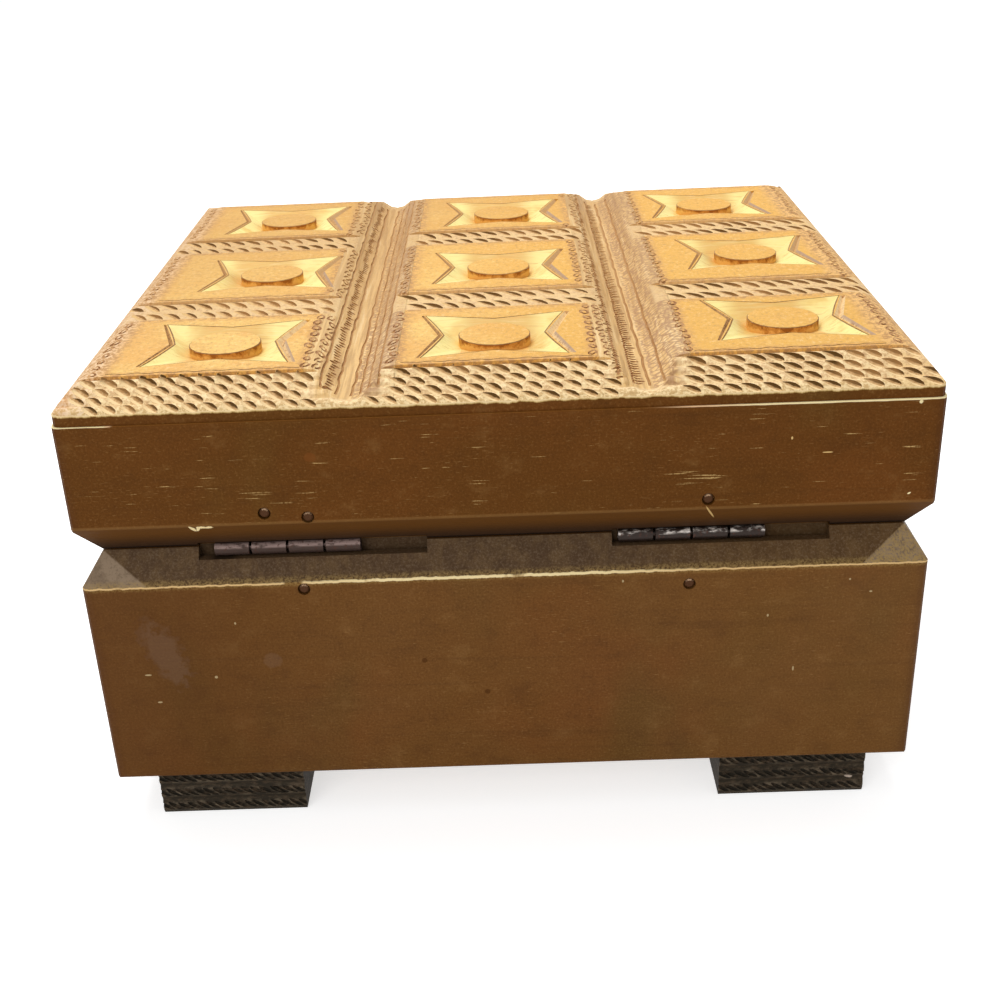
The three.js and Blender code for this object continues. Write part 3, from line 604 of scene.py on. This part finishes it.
FIELD_TAN = (0.88, 0.56, 0.155)
FIELD_ORANGE = (0.8, 0.43, 0.1)
FIELD_GOLD = (0.77, 0.405, 0.06)
FIELD_GRAIN = (0.62, 0.33, 0.08)
EDGE_BROWN = (0.42, 0.225, 0.1)
EDGE_ORANGE = (0.44, 0.215, 0.072)
CORNER_BROWN = (0.62, 0.33, 0.135)
SHADE_BROWN = (0.44, 0.225, 0.055)
SIDE_PINK = (0.86, 0.62, 0.4)
SIDE_GOLD = (0.88, 0.56, 0.22)
ROPE_CREAM = (0.95, 0.72, 0.39)
ROPE_TAN = (0.72, 0.46, 0.22)
BAND_TAN = (0.77, 0.51, 0.215)
CUT_TAN = (0.54, 0.31, 0.125)
CUT_PALE = (0.76, 0.5, 0.245)
CUT_SHADE = (0.12, 0.062, 0.016)
GROOVE_TAN = (0.78, 0.5, 0.2)
GROOVE_BROWN = (0.5, 0.29, 0.11)
GROOVE_GREY = (0.46, 0.3, 0.2)
RIM_GOLD = (0.6, 0.39, 0.135)
STAR_YELLOW = (0.95, 0.8, 0.3)
STAR_TAN = (0.84, 0.56, 0.15)
STAR_GOLD = (0.72, 0.44, 0.11)
BOSS_WALL = (0.84, 0.47, 0.12)
BOSS_WALL_SHADE = (0.33, 0.115, 0.016)
BOSS_WALL_RED = (0.6, 0.27, 0.05)
OUTLINE_BROWN = (0.27, 0.135, 0.045)
CHEVRON_CREAM = (0.84, 0.62, 0.33)
CHEVRON_SHADE_GREY = (0.47, 0.32, 0.22)
CHEVRON_BROWN = (0.52, 0.29, 0.11)
STAMP_BROWN = (0.38, 0.185, 0.075)
STAMP_TAN = (0.66, 0.39, 0.165)

BACK_BORDER = 0.0105
FRONT_BORDER = 0.012
SIDE_BORDER = 0.0068
BORDER_ROPE_ROWS = 4
RIM_HEIGHT = 0.002
CORNER_BARE = 0.0036
GROOVES = (-0.0254, 0.0252)
GROOVE_WIDTH = 0.0154
ROPE_BANDS = (-0.023, 0.0263)
BAND_ROPE_ROWS = 2
BAND_ROPE_PITCH = 0.006
PATTERN_SKEW = 0.0013
FRAY_WIDTH = 0.0038

STAR_CENTRES = (
    (-0.05035, -0.046), (-0.0017, -0.0451), (0.04935, -0.045),
    (-0.05305, -0.00095), (-0.0007, 0.00325), (0.04695, 0.00265),
    (-0.05245, 0.0455), (0.0003, 0.0492), (0.04915, 0.0489),
)
STAR_TIP_X = 0.0129
STAR_TIP_Y = 0.0122
STAR_WAIST = 0.0091
STAR_BESIDE = 0.0106
STAR_DIP = 0.0092
ARM_CREASE = 0.006
CHEVRON_REACH = 0.0146

STRAND_PITCH = 0.00335
STRANDS_EACH_WAY = 54
WORN_STRANDS_X = -0.014
WORN_STRANDS_REACH = 0.009
WORN_STRANDS_DEPTH = 0.00013
BORDER_CUT_RUN = 0.00255
ROW_INSET = 0.34
BORDER_STRAND_SLANT = math.radians(43)
BAND_STRAND_SLANT = math.radians(50)
BORDER_CUT = (0.0045, 0.002, 0.0014)
BAND_CUT = (0.0064, 0.002, 0.0013)
LOOP_RADIUS = 0.0006
LOOP_LINE = 0.0003
LOOP_STRETCH = 2.1
LOOP_PITCH = 0.0034
HATCH_CUT = (0.0024, 0.00085, 0.0007)
HATCH_PITCH = 0.0013
SCORE_RADIUS = 0.00026
SCORE_START = -0.0695
SCORE_STEP = 0.0025
SCORE_STEPS = 57
WAVE_LENGTH = 0.0042
WAVE_HEIGHT = 0.00025
OUTLINE_RADIUS = 0.00015
BOSS_RADIUS = 0.0065
BOSS_EDGE_RADIUS = 0.00013
STAR_COLUMN_PITCH = 0.0503
STAR_COLUMN_SHIFT = 0.0007
STAR_ROW_PITCH = 0.0475
STAR_ROW_TURN = math.tau / STAR_ROW_PITCH
STAR_ROW_SHIFT = 0.0017

top_low, top_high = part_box("lid_top_panel")
edge_x, edge_y, field_z = top_high
back_field = HALF_SIDE - BACK_BORDER
front_field = FRONT_BORDER - HALF_SIDE
half_band = BAND_ROPE_ROWS * BAND_ROPE_PITCH / 2


def skewed(x, y):
    """Where a row meant for y runs at x: a little out of square, but not along the board's edges."""
    border = BACK_BORDER if y > 0 else FRONT_BORDER
    share = min(max((edge_y - abs(y)) / border, 0.0), 1.0)
    return y + PATTERN_SKEW * x / HALF_SIDE * share


def rope_share(finish, row_y):
    """1 on the rope rows of the borders and bands, but 0 on the bare bottoms of the grooves."""
    ropes = finish.reckon("MAXIMUM", finish.ramp(row_y, back_field, back_field + 0.0002),
                          finish.ramp(row_y, front_field, front_field - 0.0002))
    for band in ROPE_BANDS:
        banded = finish.strip(row_y, band - half_band, band + half_band, 0.0002)
        ropes = finish.reckon("MAXIMUM", ropes, banded)
    inner = finish.ramp(finish.reckon("ABSOLUTE", finish.y), 0.0732, 0.0716)
    for groove in GROOVES:
        bottom = finish.times(inner, finish.strip(finish.x, groove - 0.0048, groove + 0.0048, 0.0016))
        ropes = finish.times(ropes, finish.less(1.0, bottom))
    return ropes


def field_edges(finish, row_y):
    """1 along the ragged edges of each field, 0 on its middle."""
    edges = 0.0
    for value, low, high, dividers, width in (
        (finish.x, SIDE_BORDER - HALF_SIDE, HALF_SIDE - SIDE_BORDER, GROOVES, GROOVE_WIDTH),
        (row_y, front_field, back_field, ROPE_BANDS, 2 * half_band),
    ):
        away = finish.reckon("MINIMUM", finish.less(value, low), finish.less(high, value))
        for divider in dividers:
            gap = finish.reckon("ABSOLUTE", finish.less(value, divider))
            away = finish.reckon("MINIMUM", away, finish.less(gap, width / 2))
        away = finish.plus(away, finish.times(finish.grain((500, 500, 500)), 0.002))
        edges = finish.reckon("MAXIMUM", finish.ramp(away, FRAY_WIDTH, FRAY_WIDTH * 0.3), edges)
    return edges


def carved_finish(name):
    """Golden varnish on the fields, cream on the worn ropes, and dull tan in the grooves; painted shade at
    the front right.
    """
    finish = Finish(name, FIELD_TAN)
    row_y = finish.less(finish.y, finish.times(finish.x, PATTERN_SKEW / HALF_SIDE))
    lines = finish.grain((60, 1500, 300), detail=4.0, roughness=0.65)
    stipple = finish.grain((1300, 1300, 1300), detail=3.0, roughness=0.65)
    finish.lay(finish.grain((75, 75, 75), detail=4.0), 0.38, 0.64, FIELD_ORANGE)
    finish.lay(stipple, 0.46, 0.64, FIELD_ORANGE, 0.45)
    finish.lay(stipple, 0.56, 0.68, FIELD_GRAIN, 0.35)
    finish.lay(lines, 0.46, 0.7, FIELD_GRAIN, 0.45)
    finish.lay(finish.y, 0.06, -0.01, FIELD_GOLD, 0.5)
    finish.lay(finish.x, 0.014, -0.01, FIELD_GOLD, 0.8)
    worn_patches = finish.grain((260, 420, 260), detail=4.0, roughness=0.65)
    finish.lay(worn_patches, 0.5, 0.68, FIELD_GRAIN, 0.28)
    roughened = finish.grain((1150, 800, 900), detail=5.0, roughness=0.8)
    finish.lay(roughened, 0.53, 0.63, EDGE_ORANGE, 0.46)
    finish.lay(roughened, 0.46, 0.36, ROPE_CREAM, 0.42)
    edges = field_edges(finish, row_y)
    finish.coat(edges, FIELD_ORANGE, 0.8)
    finish.fleck(edges, stipple, 0.38, 0.58, EDGE_ORANGE, 0.85)
    ribs = finish.grain((1150, 45, 300), detail=3.0, roughness=0.6)
    hollows = 0.0
    inputs = {"Vector": finish.stretched((640, 740, 300)), "Scale": 1.0}
    net = finish.node("TexVoronoi", inputs, feature="DISTANCE_TO_EDGE").outputs["Distance"]
    for groove, greyed in zip(GROOVES, (0.12, 0.45)):
        hollow = finish.strip(finish.x, groove - GROOVE_WIDTH / 2, groove + GROOVE_WIDTH / 2, 0.0003)
        hollows = finish.reckon("MAXIMUM", hollow, hollows)
        finish.coat(hollow, GROOVE_TAN)
        finish.fleck(hollow, ribs, 0.46, 0.6, GROOVE_BROWN, 0.65)
        finish.fleck(hollow, ribs, 0.44, 0.34, ROPE_CREAM, 0.5)
        shaded = finish.strip(finish.x, groove - 0.007, groove - 0.003, 0.0012)
        finish.fleck(shaded, stipple, 0.34, 0.6, GROOVE_GREY, greyed)
        netted = finish.strip(finish.x, groove - 0.0074, groove - 0.0012, 0.0006)
        finish.fleck(netted, net, 0.2, 0.02, EDGE_BROWN, 0.9)
    ropes = rope_share(finish, row_y)
    finish.coat(ropes, ROPE_CREAM)
    finish.fleck(ropes, finish.reckon("ABSOLUTE", finish.y), 0.05, 0.045, BAND_TAN, 0.8)
    finish.fleck(ropes, stipple, 0.42, 0.58, ROPE_TAN, 0.9)
    finish.fleck(ropes, stipple, 0.58, 0.68, EDGE_BROWN, 0.5)
    bare_from = HALF_SIDE - CORNER_BARE
    finish.fleck(ropes, finish.x, bare_from, bare_from + 0.001, CORNER_BROWN, 0.85)
    pale_side = finish.ramp(finish.x, 0.0665, 0.0695)
    finish.fleck(pale_side, stipple, 0.58, 0.42, SIDE_PINK, 0.75)
    golden_side = finish.ramp(finish.x, -0.065, -0.069)
    finish.fleck(golden_side, stipple, 0.58, 0.42, SIDE_GOLD, 0.5)
    rim = finish.ramp(finish.reckon("ABSOLUTE", finish.y), 0.073, 0.0738)
    finish.fleck(rim, stipple, 0.4, 0.56, RIM_GOLD, 0.45)
    # Painted shade: darker towards the front right corner, and in the grooves towards the front.
    finish.lay(finish.less(finish.x, finish.y), -0.01, 0.09, SHADE_BROWN, 0.36)
    finish.fleck(hollows, finish.y, 0.055, 0.02, SHADE_BROWN, 0.22)
    relief = finish.plus(stipple, finish.times(finish.times(hollows, ribs), 2.0))
    return finish.done(relief, 0.00016, (0.45, 0.65), stipple, Specular_IOR_Level=0.25)


def cut_finish(name, slant, pale, darkest):
    """A gouge cut: its steep far wall is darkened by painted shade and the stain it kept, and the rest is
    paler by wear and painted light.
    """
    finish = Finish(name, CUT_TAN)
    specks = finish.grain((1500, 1500, 1500), detail=3.0, roughness=0.65)
    finish.lay(specks, 0.42, 0.6, CUT_PALE, 0.9)
    kept = finish.ramp(finish.grain((55, 55, 55), detail=3.0), 0.36, 0.58)
    leaning = finish.node("VectorMath", {
        0: finish.node("TexCoord").outputs["Normal"],
        1: (math.sin(slant), math.cos(slant), 0.0),
    }, operation="DOT_PRODUCT").outputs["Value"]
    # Painted light and wear: the faces turned away from the steep wall are paler.
    finish.lay(leaning, 0.4, 0.1, pale, 0.9)
    # Painted shade and kept stain on the steep far wall, chosen by which way its faces turn.
    dark = finish.ramp(finish.plus(leaning, finish.times(specks, 0.35)), 0.66, 0.9)
    finish.coat(dark, CUT_TAN)
    finish.coat(finish.times(dark, finish.plus(0.45, kept)), CUT_SHADE, darkest)
    return finish.done(specks, 0.00012, 0.7, Specular_IOR_Level=0.15)


def star_finish(name, ground, light, share, middle=None):
    """Cut wood, with the fine ridges that a knife leaves along the board."""
    finish = Finish(name, ground)
    ridges = finish.grain((120, 1500, 500), detail=4.0, roughness=0.7)
    finish.lay(finish.grain((170, 170, 170), detail=3.0), share, share + 0.25, light)
    if middle:
        shifted = finish.plus(finish.x, STAR_COLUMN_SHIFT)
        beside = finish.reckon("PINGPONG", shifted, STAR_COLUMN_PITCH / 2)
        finish.lay(beside, 0.009, 0.0045, middle, 0.95)
        finish.fleck(finish.ramp(beside, 0.007, 0.003), ridges, 0.46, 0.58, FIELD_ORANGE, 0.7)
        turns = finish.times(finish.less(finish.y, STAR_ROW_SHIFT), STAR_ROW_TURN)
        finish.lay(finish.reckon("SINE", turns), 0.1, -0.8, middle, 0.22)
    finish.lay(ridges, 0.52, 0.7, FIELD_GRAIN, 0.62)
    finish.lay(ridges, 0.46, 0.34, ROPE_CREAM, 0.3)
    return finish.done(ridges, 0.00016, 0.5, Specular_IOR_Level=0.25)


def boss_wall_finish(name):
    """Torn end grain, darkened by painted shade under the boss's edge, and paler where it meets the floor.
    """
    finish = Finish(name, BOSS_WALL)
    tears = finish.grain((450, 450, 500), detail=4.0, roughness=0.7)
    height = finish.plus(finish.z, finish.times(tears, 0.004))
    # Painted shade: the wall darkens, red and then near black-brown, towards the boss's edge above.
    finish.lay(height, field_z + 0.0009, field_z + 0.0014, BOSS_WALL_RED)
    finish.lay(height, field_z + 0.0015, field_z + 0.0019, BOSS_WALL_SHADE)
    return finish.done(tears, 0.0002, 0.65, Specular_IOR_Level=0.15)


def tooled_finish(name, ground, dark, upper_shade=0.0):
    """A tool mark, where the stain went darker in patches; on some walls painted shade darkens the upper
    part.
    """
    finish = Finish(name, ground)
    specks = finish.grain((1500, 1500, 750), detail=3.0, roughness=0.65)
    finish.lay(specks, 0.46, 0.64, dark)
    finish.lay(finish.y, 0.03, 0.01, CHEVRON_BROWN, 0.65)
    # Painted shade along the upper part of the wall, just under the field.
    if upper_shade:
        finish.lay(finish.z, field_z - 0.0006, field_z - 0.0002, CHEVRON_SHADE_GREY, upper_shade)
    return finish.done(specks, 0.0001, 0.65, Specular_IOR_Level=0.15)


def top_side_finish(name):
    """The board's edge: brown varnish, rubbed pale along its upper corner."""
    finish = varnished_board(name, True, LID_BROWN)
    wander = finish.times(finish.grain((420, 420, 0), detail=4.0, roughness=0.7), 0.0011)
    height = finish.less(finish.plus(finish.z, wander), top_low.z + RIM_HEIGHT)
    finish.lay(height, 0.0001, 0.0003, RIM_GOLD)
    finish.lay(height, 0.00025, 0.0005, ROPE_CREAM)
    return finish.done(finish.lines, 0.0001, (0.45, 0.62), finish.specks, Specular_IOR_Level=0.06)


carved_wood = carved_finish("carved_wood")
border_cut_wood = cut_finish("border_rope_cut", BORDER_STRAND_SLANT, ROPE_CREAM, 1.0)
band_cut_wood = cut_finish("band_rope_cut", BAND_STRAND_SLANT, BAND_TAN, 0.6)
star_wood = star_finish("star_wood", STAR_YELLOW, STAR_TAN, 0.5, STAR_GOLD)
near_floor_wood = star_finish("star_near_floor", FIELD_TAN, FIELD_ORANGE, 0.38)
boss_wood = boss_wall_finish("boss_wall")
chevron_inner_wood = tooled_finish("chevron_inner_wall", CHEVRON_CREAM, ROPE_TAN)
chevron_outer_shaded_wood = tooled_finish("chevron_outer_wall_painted_shade", CHEVRON_CREAM, EDGE_BROWN, upper_shade=0.85)
chevron_thin_wood = tooled_finish("thin_chevron", CHEVRON_BROWN, OUTLINE_BROWN)
outline_wood = tooled_finish("scored_outline", OUTLINE_BROWN, EDGE_BROWN)
groove_line_wood = tooled_finish("scored_groove", EDGE_ORANGE, GROOVE_BROWN)
stamp_wood = tooled_finish("punch_mark", STAMP_BROWN, STAMP_TAN)
top_side_wood = top_side_finish("top_board_edge")
top_under_wood = star_finish("top_board_underside", BARE_WOOD, FLOOR_WOOD, 0.4)

top = carving_blank("lid_top_panel", "carved_top", "lid")
for finish in (
    carved_wood, star_wood, near_floor_wood, boss_wood, chevron_inner_wood,
    chevron_outer_shaded_wood, chevron_thin_wood, outline_wood, top_side_wood, top_under_wood,
):
    top.data.materials.append(finish)


def star_side(along):
    """Half the width of a star, at a share of the way from its waist to its tips."""
    return (1 - along) ** 2 * STAR_WAIST + 2 * along * (1 - along) * STAR_BESIDE + along ** 2 * STAR_TIP_X


def star_surface(face):
    """The finish of a face that lies in a star or in the cuts beside it, or None."""
    centre = min(STAR_CENTRES, key=lambda place: (face.center.xy - Vector(place)).length)
    across, along = face.center.xy - Vector(centre)
    if abs(across) > CHEVRON_REACH or abs(along) > STAR_TIP_Y:
        return None
    if abs(across) > star_side(abs(along) / STAR_TIP_Y) + 0.0001:
        if across > 0:
            return chevron_thin_wood
        # Painted shade: walls that face +X on the back half take the darker copy, with a shaded upper part.
        return chevron_outer_shaded_wood if face.normal.x > 0 and along > 0 else chevron_inner_wood
    if abs(face.normal.z) < 0.1:
        return boss_wood
    return near_floor_wood if along > 0 and abs(across) < ARM_CREASE else star_wood


def top_surface(face):
    """The finish that a face of the board takes, by its place and slope."""
    lowest = min(top.data.vertices[corner].co.z for corner in face.vertices)
    if face.normal.z < -0.5:
        return top_under_wood
    if abs(face.normal.z) < 0.1 and lowest < top_low.z + 0.0001:
        return top_side_wood
    if lowest > field_z - 0.0001:
        return carved_wood
    return star_surface(face) or carved_wood


for face in top.data.polygons:
    face.material_index = top.data.materials.find(top_surface(face).name)

down = Vector((0, 0, -1))
ABOVE = 0.1
hand = random.Random(5)
top_face = surface_of(top)
strands = []
for strand in range(-STRANDS_EACH_WAY, STRANDS_EACH_WAY + 1):
    strands.append(strand * STRAND_PITCH + hand.uniform(-0.00022, 0.00022))


def rope_row(tool, y, slant, ends, gap, size):
    """One row of slanting cuts, but none over the grooves; its strands run on into the next row."""
    cuts = []
    for strand in strands:
        x = strand - y / math.tan(slant)
        if ends[0] < x < ends[1] and all(abs(x - groove) > gap for groove in GROOVES):
            turn = -slant + hand.uniform(-0.06, 0.06)
            along = Vector((math.cos(turn), math.sin(turn), 0))
            place = Vector((x, skewed(x, y) + hand.uniform(-0.00012, 0.00012), ABOVE))
            worn = math.exp(-((x - WORN_STRANDS_X) / WORN_STRANDS_REACH) ** 2) if y > 0 else 0.0
            sink = hand.uniform(-0.00004, 0.00008) - WORN_STRANDS_DEPTH * worn
            cuts.append(strike(top_face, tool, place, down, along, size * hand.uniform(0.94, 1.06), sink))
    return [cut for cut in cuts if cut]


def carve_apart(piece, batches):
    """Carves each batch in two rounds, so that neighbours in a row aren't cut at once."""
    for cuts in batches:
        carve(piece, cuts[0::2])
        carve(piece, cuts[1::2])


border_gouge = gouge(BORDER_CUT, math.radians(-24), border_cut_wood)
band_gouge = gouge(BAND_CUT, math.radians(-24), band_cut_wood)
rope_cuts = ([], [])
for side, field_edge in ((1, back_field), (-1, front_field)):
    run = (edge_y - abs(field_edge)) / BORDER_ROPE_ROWS
    for row in range(BORDER_ROPE_ROWS):
        y = side * (edge_y - run * (row + ROW_INSET))
        gap = 0.004 if row == 0 else 0.006
        size = (0.92 + 0.04 * row) * run / BORDER_CUT_RUN
        ends = (-edge_x + 0.001, edge_x - CORNER_BARE)
        rope_cuts[row % 2].extend(rope_row(border_gouge, y, BORDER_STRAND_SLANT, ends, gap, size))
for band in ROPE_BANDS:
    for row in range(BAND_ROPE_ROWS):
        y = band + (row - (BAND_ROPE_ROWS - 1) / 2) * BAND_ROPE_PITCH
        ends = (-0.0715, 0.0715)
        rope_cuts[row % 2].extend(rope_row(band_gouge, y, BAND_STRAND_SLANT, ends, 0.0068, 1.0))
carve_apart(top, rope_cuts)
bpy.data.objects.remove(border_gouge)
bpy.data.objects.remove(band_gouge)


def in_star(x, y):
    """Whether a mark would touch a star or the cuts beside it."""
    return any(abs(x - centre_x) < CHEVRON_REACH + 0.001 and abs(y - centre_y) < STAR_TIP_Y + 0.002
               for centre_x, centre_y in STAR_CENTRES)


def punch_column(tool, x, y_from, y_to, pitch, turn, swing):
    """One column of tool marks from front to back."""
    marks = []
    y = y_from + pitch / 2
    while y < y_to:
        if not in_star(x, y):
            angle = turn + hand.uniform(-swing, swing)
            place = Vector((x + hand.uniform(-0.0003, 0.0003), y, ABOVE))
            along = Vector((math.cos(angle), math.sin(angle), 0))
            marks.append(strike(top_face, tool, place, down, along, hand.uniform(0.82, 1.08)))
        y += pitch * hand.uniform(0.94, 1.06)
    return [mark for mark in marks if mark]


bpy.ops.mesh.primitive_torus_add(
    major_segments=10, minor_segments=5, major_radius=LOOP_RADIUS, minor_radius=LOOP_LINE)
loop_punch = bpy.context.object
bpy.ops.object.mode_set(mode="EDIT")
bpy.ops.transform.resize(value=(1, LOOP_STRETCH, 1))
bpy.ops.transform.rotate(value=math.radians(10), orient_axis="X", center_override=(0, 0, 0))
bpy.ops.object.mode_set(mode="OBJECT")
loop_punch.data.materials.append(stamp_wood)
hatch_punch = gouge(HATCH_CUT, 0.0, stamp_wood)

LOOP_COLUMNS = (-0.0698, 0.0698, GROOVES[1] + 0.008, GROOVES[1] + 0.0057, GROOVES[1] - 0.007,
                GROOVES[0] + 0.0062, GROOVES[0] + 0.0086, GROOVES[0] - 0.008)
HATCH_COLUMNS = (
    (GROOVES[1] + 0.0034, 0.35), (GROOVES[0] + 0.0048, 0.5), (GROOVES[0] + 0.0016, 0.3),
)
row_edges = [front_field, ROPE_BANDS[0] - half_band, ROPE_BANDS[0] + half_band,
             ROPE_BANDS[1] - half_band, ROPE_BANDS[1] + half_band, back_field]
field_rows = list(zip(row_edges[::2], row_edges[1::2]))

top_face = surface_of(top)
marks = ([], [])
for column, x in enumerate(LOOP_COLUMNS):
    for low_y, high_y in field_rows:
        ends = skewed(x, low_y) + 0.0008, skewed(x, high_y) - 0.0008
        marks[column % 2].extend(punch_column(loop_punch, x, *ends, LOOP_PITCH, 0.0, 0.5))
for column, (x, turn) in enumerate(HATCH_COLUMNS):
    marks[column % 2].extend(punch_column(hatch_punch, x, -0.068, 0.0705, HATCH_PITCH, turn, 0.2))
carve_apart(top, marks)
bpy.data.objects.remove(loop_punch)
bpy.data.objects.remove(hatch_punch)


def scored_line(points, radius, finish, closed=False):
    """A line scored with a round point."""
    path = bpy.data.curves.new("score", "CURVE")
    path.dimensions = "3D"
    path.bevel_depth = radius
    path.bevel_resolution = 1
    path.use_fill_caps = not closed
    spline = path.splines.new("POLY")
    spline.use_cyclic_u = closed
    spline.points.add(len(points) - 1)
    for point, place in zip(spline.points, points):
        point.co = (*place, 1.0)
    line = stand("score", path)
    pick(line)
    bpy.ops.object.convert(target="MESH")
    merge_corners(face_outwards=True)
    line.data.materials.append(finish)
    return line


GROOVE_SCORES = (
    (GROOVES[1], (0.0047, 0.0021, -0.0006, -0.002, -0.0035, -0.0051)),
    (GROOVES[0], (0.0049, 0.0023, -0.0003, -0.0029)),
)
groove_face = surface_of(nodes["lid_top_panel"])
scores = []
for groove, offsets in GROOVE_SCORES:
    for offset in offsets:
        middle = groove + offset
        points = []
        for step in range(SCORE_STEPS):
            x = middle + hand.uniform(-0.0002, 0.0002)
            y = SCORE_START + step * SCORE_STEP
            points.append((x, y, groove_face.ray_cast(Vector((middle, y, ABOVE)), down)[0].z))
        scores.append(scored_line(points, SCORE_RADIUS, groove_line_wood))

column_edges = [SIDE_BORDER - HALF_SIDE, GROOVES[0] - GROOVE_WIDTH / 2, GROOVES[0] + GROOVE_WIDTH / 2,
                GROOVES[1] - GROOVE_WIDTH / 2, GROOVES[1] + GROOVE_WIDTH / 2, HALF_SIDE - SIDE_BORDER]
for low_y, high_y in field_rows:
    for low_x, high_x in zip(column_edges[::2], column_edges[1::2]):
        points = []
        steps = int((high_x - low_x) / 0.0005)
        for step in range(2, steps - 1):
            x = low_x + (high_x - low_x) * step / steps
            y = skewed(x, high_y) - 0.0011 + WAVE_HEIGHT * math.sin(x * 2 * math.pi / WAVE_LENGTH)
            points.append((x, y, field_z))
        scores.append(scored_line(points, OUTLINE_RADIUS, outline_wood))

quarter = [(star_side(step / 4), STAR_TIP_Y * step / 4) for step in range(5)]
half = quarter + [(0.0, STAR_DIP)] + [(-x, y) for x, y in reversed(quarter)]
star_outline = half + [(x, -y) for x, y in reversed(half[1:-1])]
boss_angles = [step * math.tau / 24 for step in range(24)]
boss_edge = [(BOSS_RADIUS * math.cos(angle), BOSS_RADIUS * math.sin(angle)) for angle in boss_angles]
for outline, radius in ((star_outline, OUTLINE_RADIUS), (boss_edge, BOSS_EDGE_RADIUS)):
    for centre_x, centre_y in STAR_CENTRES:
        points = [(centre_x + x, centre_y + y, field_z) for x, y in outline]
        scores.append(scored_line(points, radius, outline_wood, closed=True))
carve(top, scores)
bpy.ops.object.shade_smooth_by_angle(angle=math.radians(32))


# Studio
# A plain pale floor in soft light from above, with the camera where the photograph was taken from.

CAMERA_PLACE = Vector((-0.001724, 0.295896, 0.164885))
CAMERA_YAW = -0.011
CAMERA_PITCH = 0.482
CAMERA_ROLL = -0.039
CAMERA_LENS = 50.755
CAMERA_SHIFT_X = -0.0002
CAMERA_SHIFT_Y = 0.0817
FLOOR_GLOW = 0.63
SKY_ON_BOX = 0.45

forward = Vector((
    -math.sin(CAMERA_YAW) * math.cos(CAMERA_PITCH),
    -math.cos(CAMERA_YAW) * math.cos(CAMERA_PITCH),
    -math.sin(CAMERA_PITCH),
))
level = forward.cross(Vector((0, 0, 1))).normalized()
upright = level.cross(forward)
right = math.cos(CAMERA_ROLL) * level + math.sin(CAMERA_ROLL) * upright
up = -math.sin(CAMERA_ROLL) * level + math.cos(CAMERA_ROLL) * upright
camera = stand("camera", bpy.data.cameras.new("camera"))
camera_turn = Matrix((right, up, -forward)).transposed().to_4x4()
camera.matrix_world = Matrix.Translation(CAMERA_PLACE) @ camera_turn
camera.data.sensor_width = 36
camera.data.lens = CAMERA_LENS
camera.data.shift_x = CAMERA_SHIFT_X
camera.data.shift_y = CAMERA_SHIFT_Y
bpy.context.scene.camera = camera

bpy.ops.object.select_all(action="DESELECT")
bpy.ops.mesh.primitive_circle_add(vertices=64, radius=6, fill_type="NGON")
ground = bpy.context.object
ground.name = "studio_floor"
ground_finish = Finish("studio_floor", (0.86, 0.86, 0.86))
ground_finish.shader.inputs["Base Color"].default_value = ground_finish.colour
ground_finish.shader.inputs["Roughness"].default_value = 0.9
ground_finish.shader.inputs["Specular IOR Level"].default_value = 0.0
ground.data.materials.append(ground_finish.material)


def seen_directly(tree):
    """1 for what the camera sees itself, in gloss or through glass, 0 for the light on the object."""
    rays = tree.nodes.new("ShaderNodeLightPath")
    seen = rays.outputs["Is Camera Ray"]
    for name in ("Is Glossy Ray", "Is Transmission Ray"):
        either = tree.nodes.new("ShaderNodeMath")
        either.operation = "MAXIMUM"
        tree.links.new(seen, either.inputs[0])
        tree.links.new(rays.outputs[name], either.inputs[1])
        seen = either.outputs[0]
    return seen


glow_level = ground_finish.times(seen_directly(ground_finish.tree), FLOOR_GLOW)
glow = ground_finish.node("Emission", {"Strength": glow_level})
lit = ground_finish.node("AddShader", {0: ground_finish.shader.outputs[0], 1: glow.outputs[0]})
ground_finish.tree.links.new(lit.outputs[0], ground_finish.tree.nodes["Material Output"].inputs["Surface"])

world = bpy.data.worlds.new("studio")
bpy.context.scene.world = world
world.use_nodes = True
sky = world.node_tree.nodes["Background"]
sky.inputs["Color"].default_value = (1, 1, 1, 1)
sky_level = world.node_tree.nodes.new("ShaderNodeMapRange")
sky_level.inputs["To Min"].default_value = SKY_ON_BOX
sky_level.inputs["To Max"].default_value = 1.0
world.node_tree.links.new(seen_directly(world.node_tree), sky_level.inputs["Value"])
world.node_tree.links.new(sky_level.outputs[0], sky.inputs["Strength"])

LAMPS = (
    ("overhead", Vector((0.1, -0.25, 0.75)), 0.45, 4.2),
    ("fill", Vector((0.35, 0.75, 0.45)), 0.5, 2.0),
)
for name, place, size, power in LAMPS:
    lamp = stand(name, bpy.data.lights.new(name, "AREA"))
    lamp.data.size = size
    lamp.data.energy = power
    lamp.location = place
    lamp.rotation_euler = (Vector((0, 0, 0.05)) - place).to_track_quat("-Z", "Y").to_euler()

bpy.context.scene.view_settings.view_transform = "Standard"
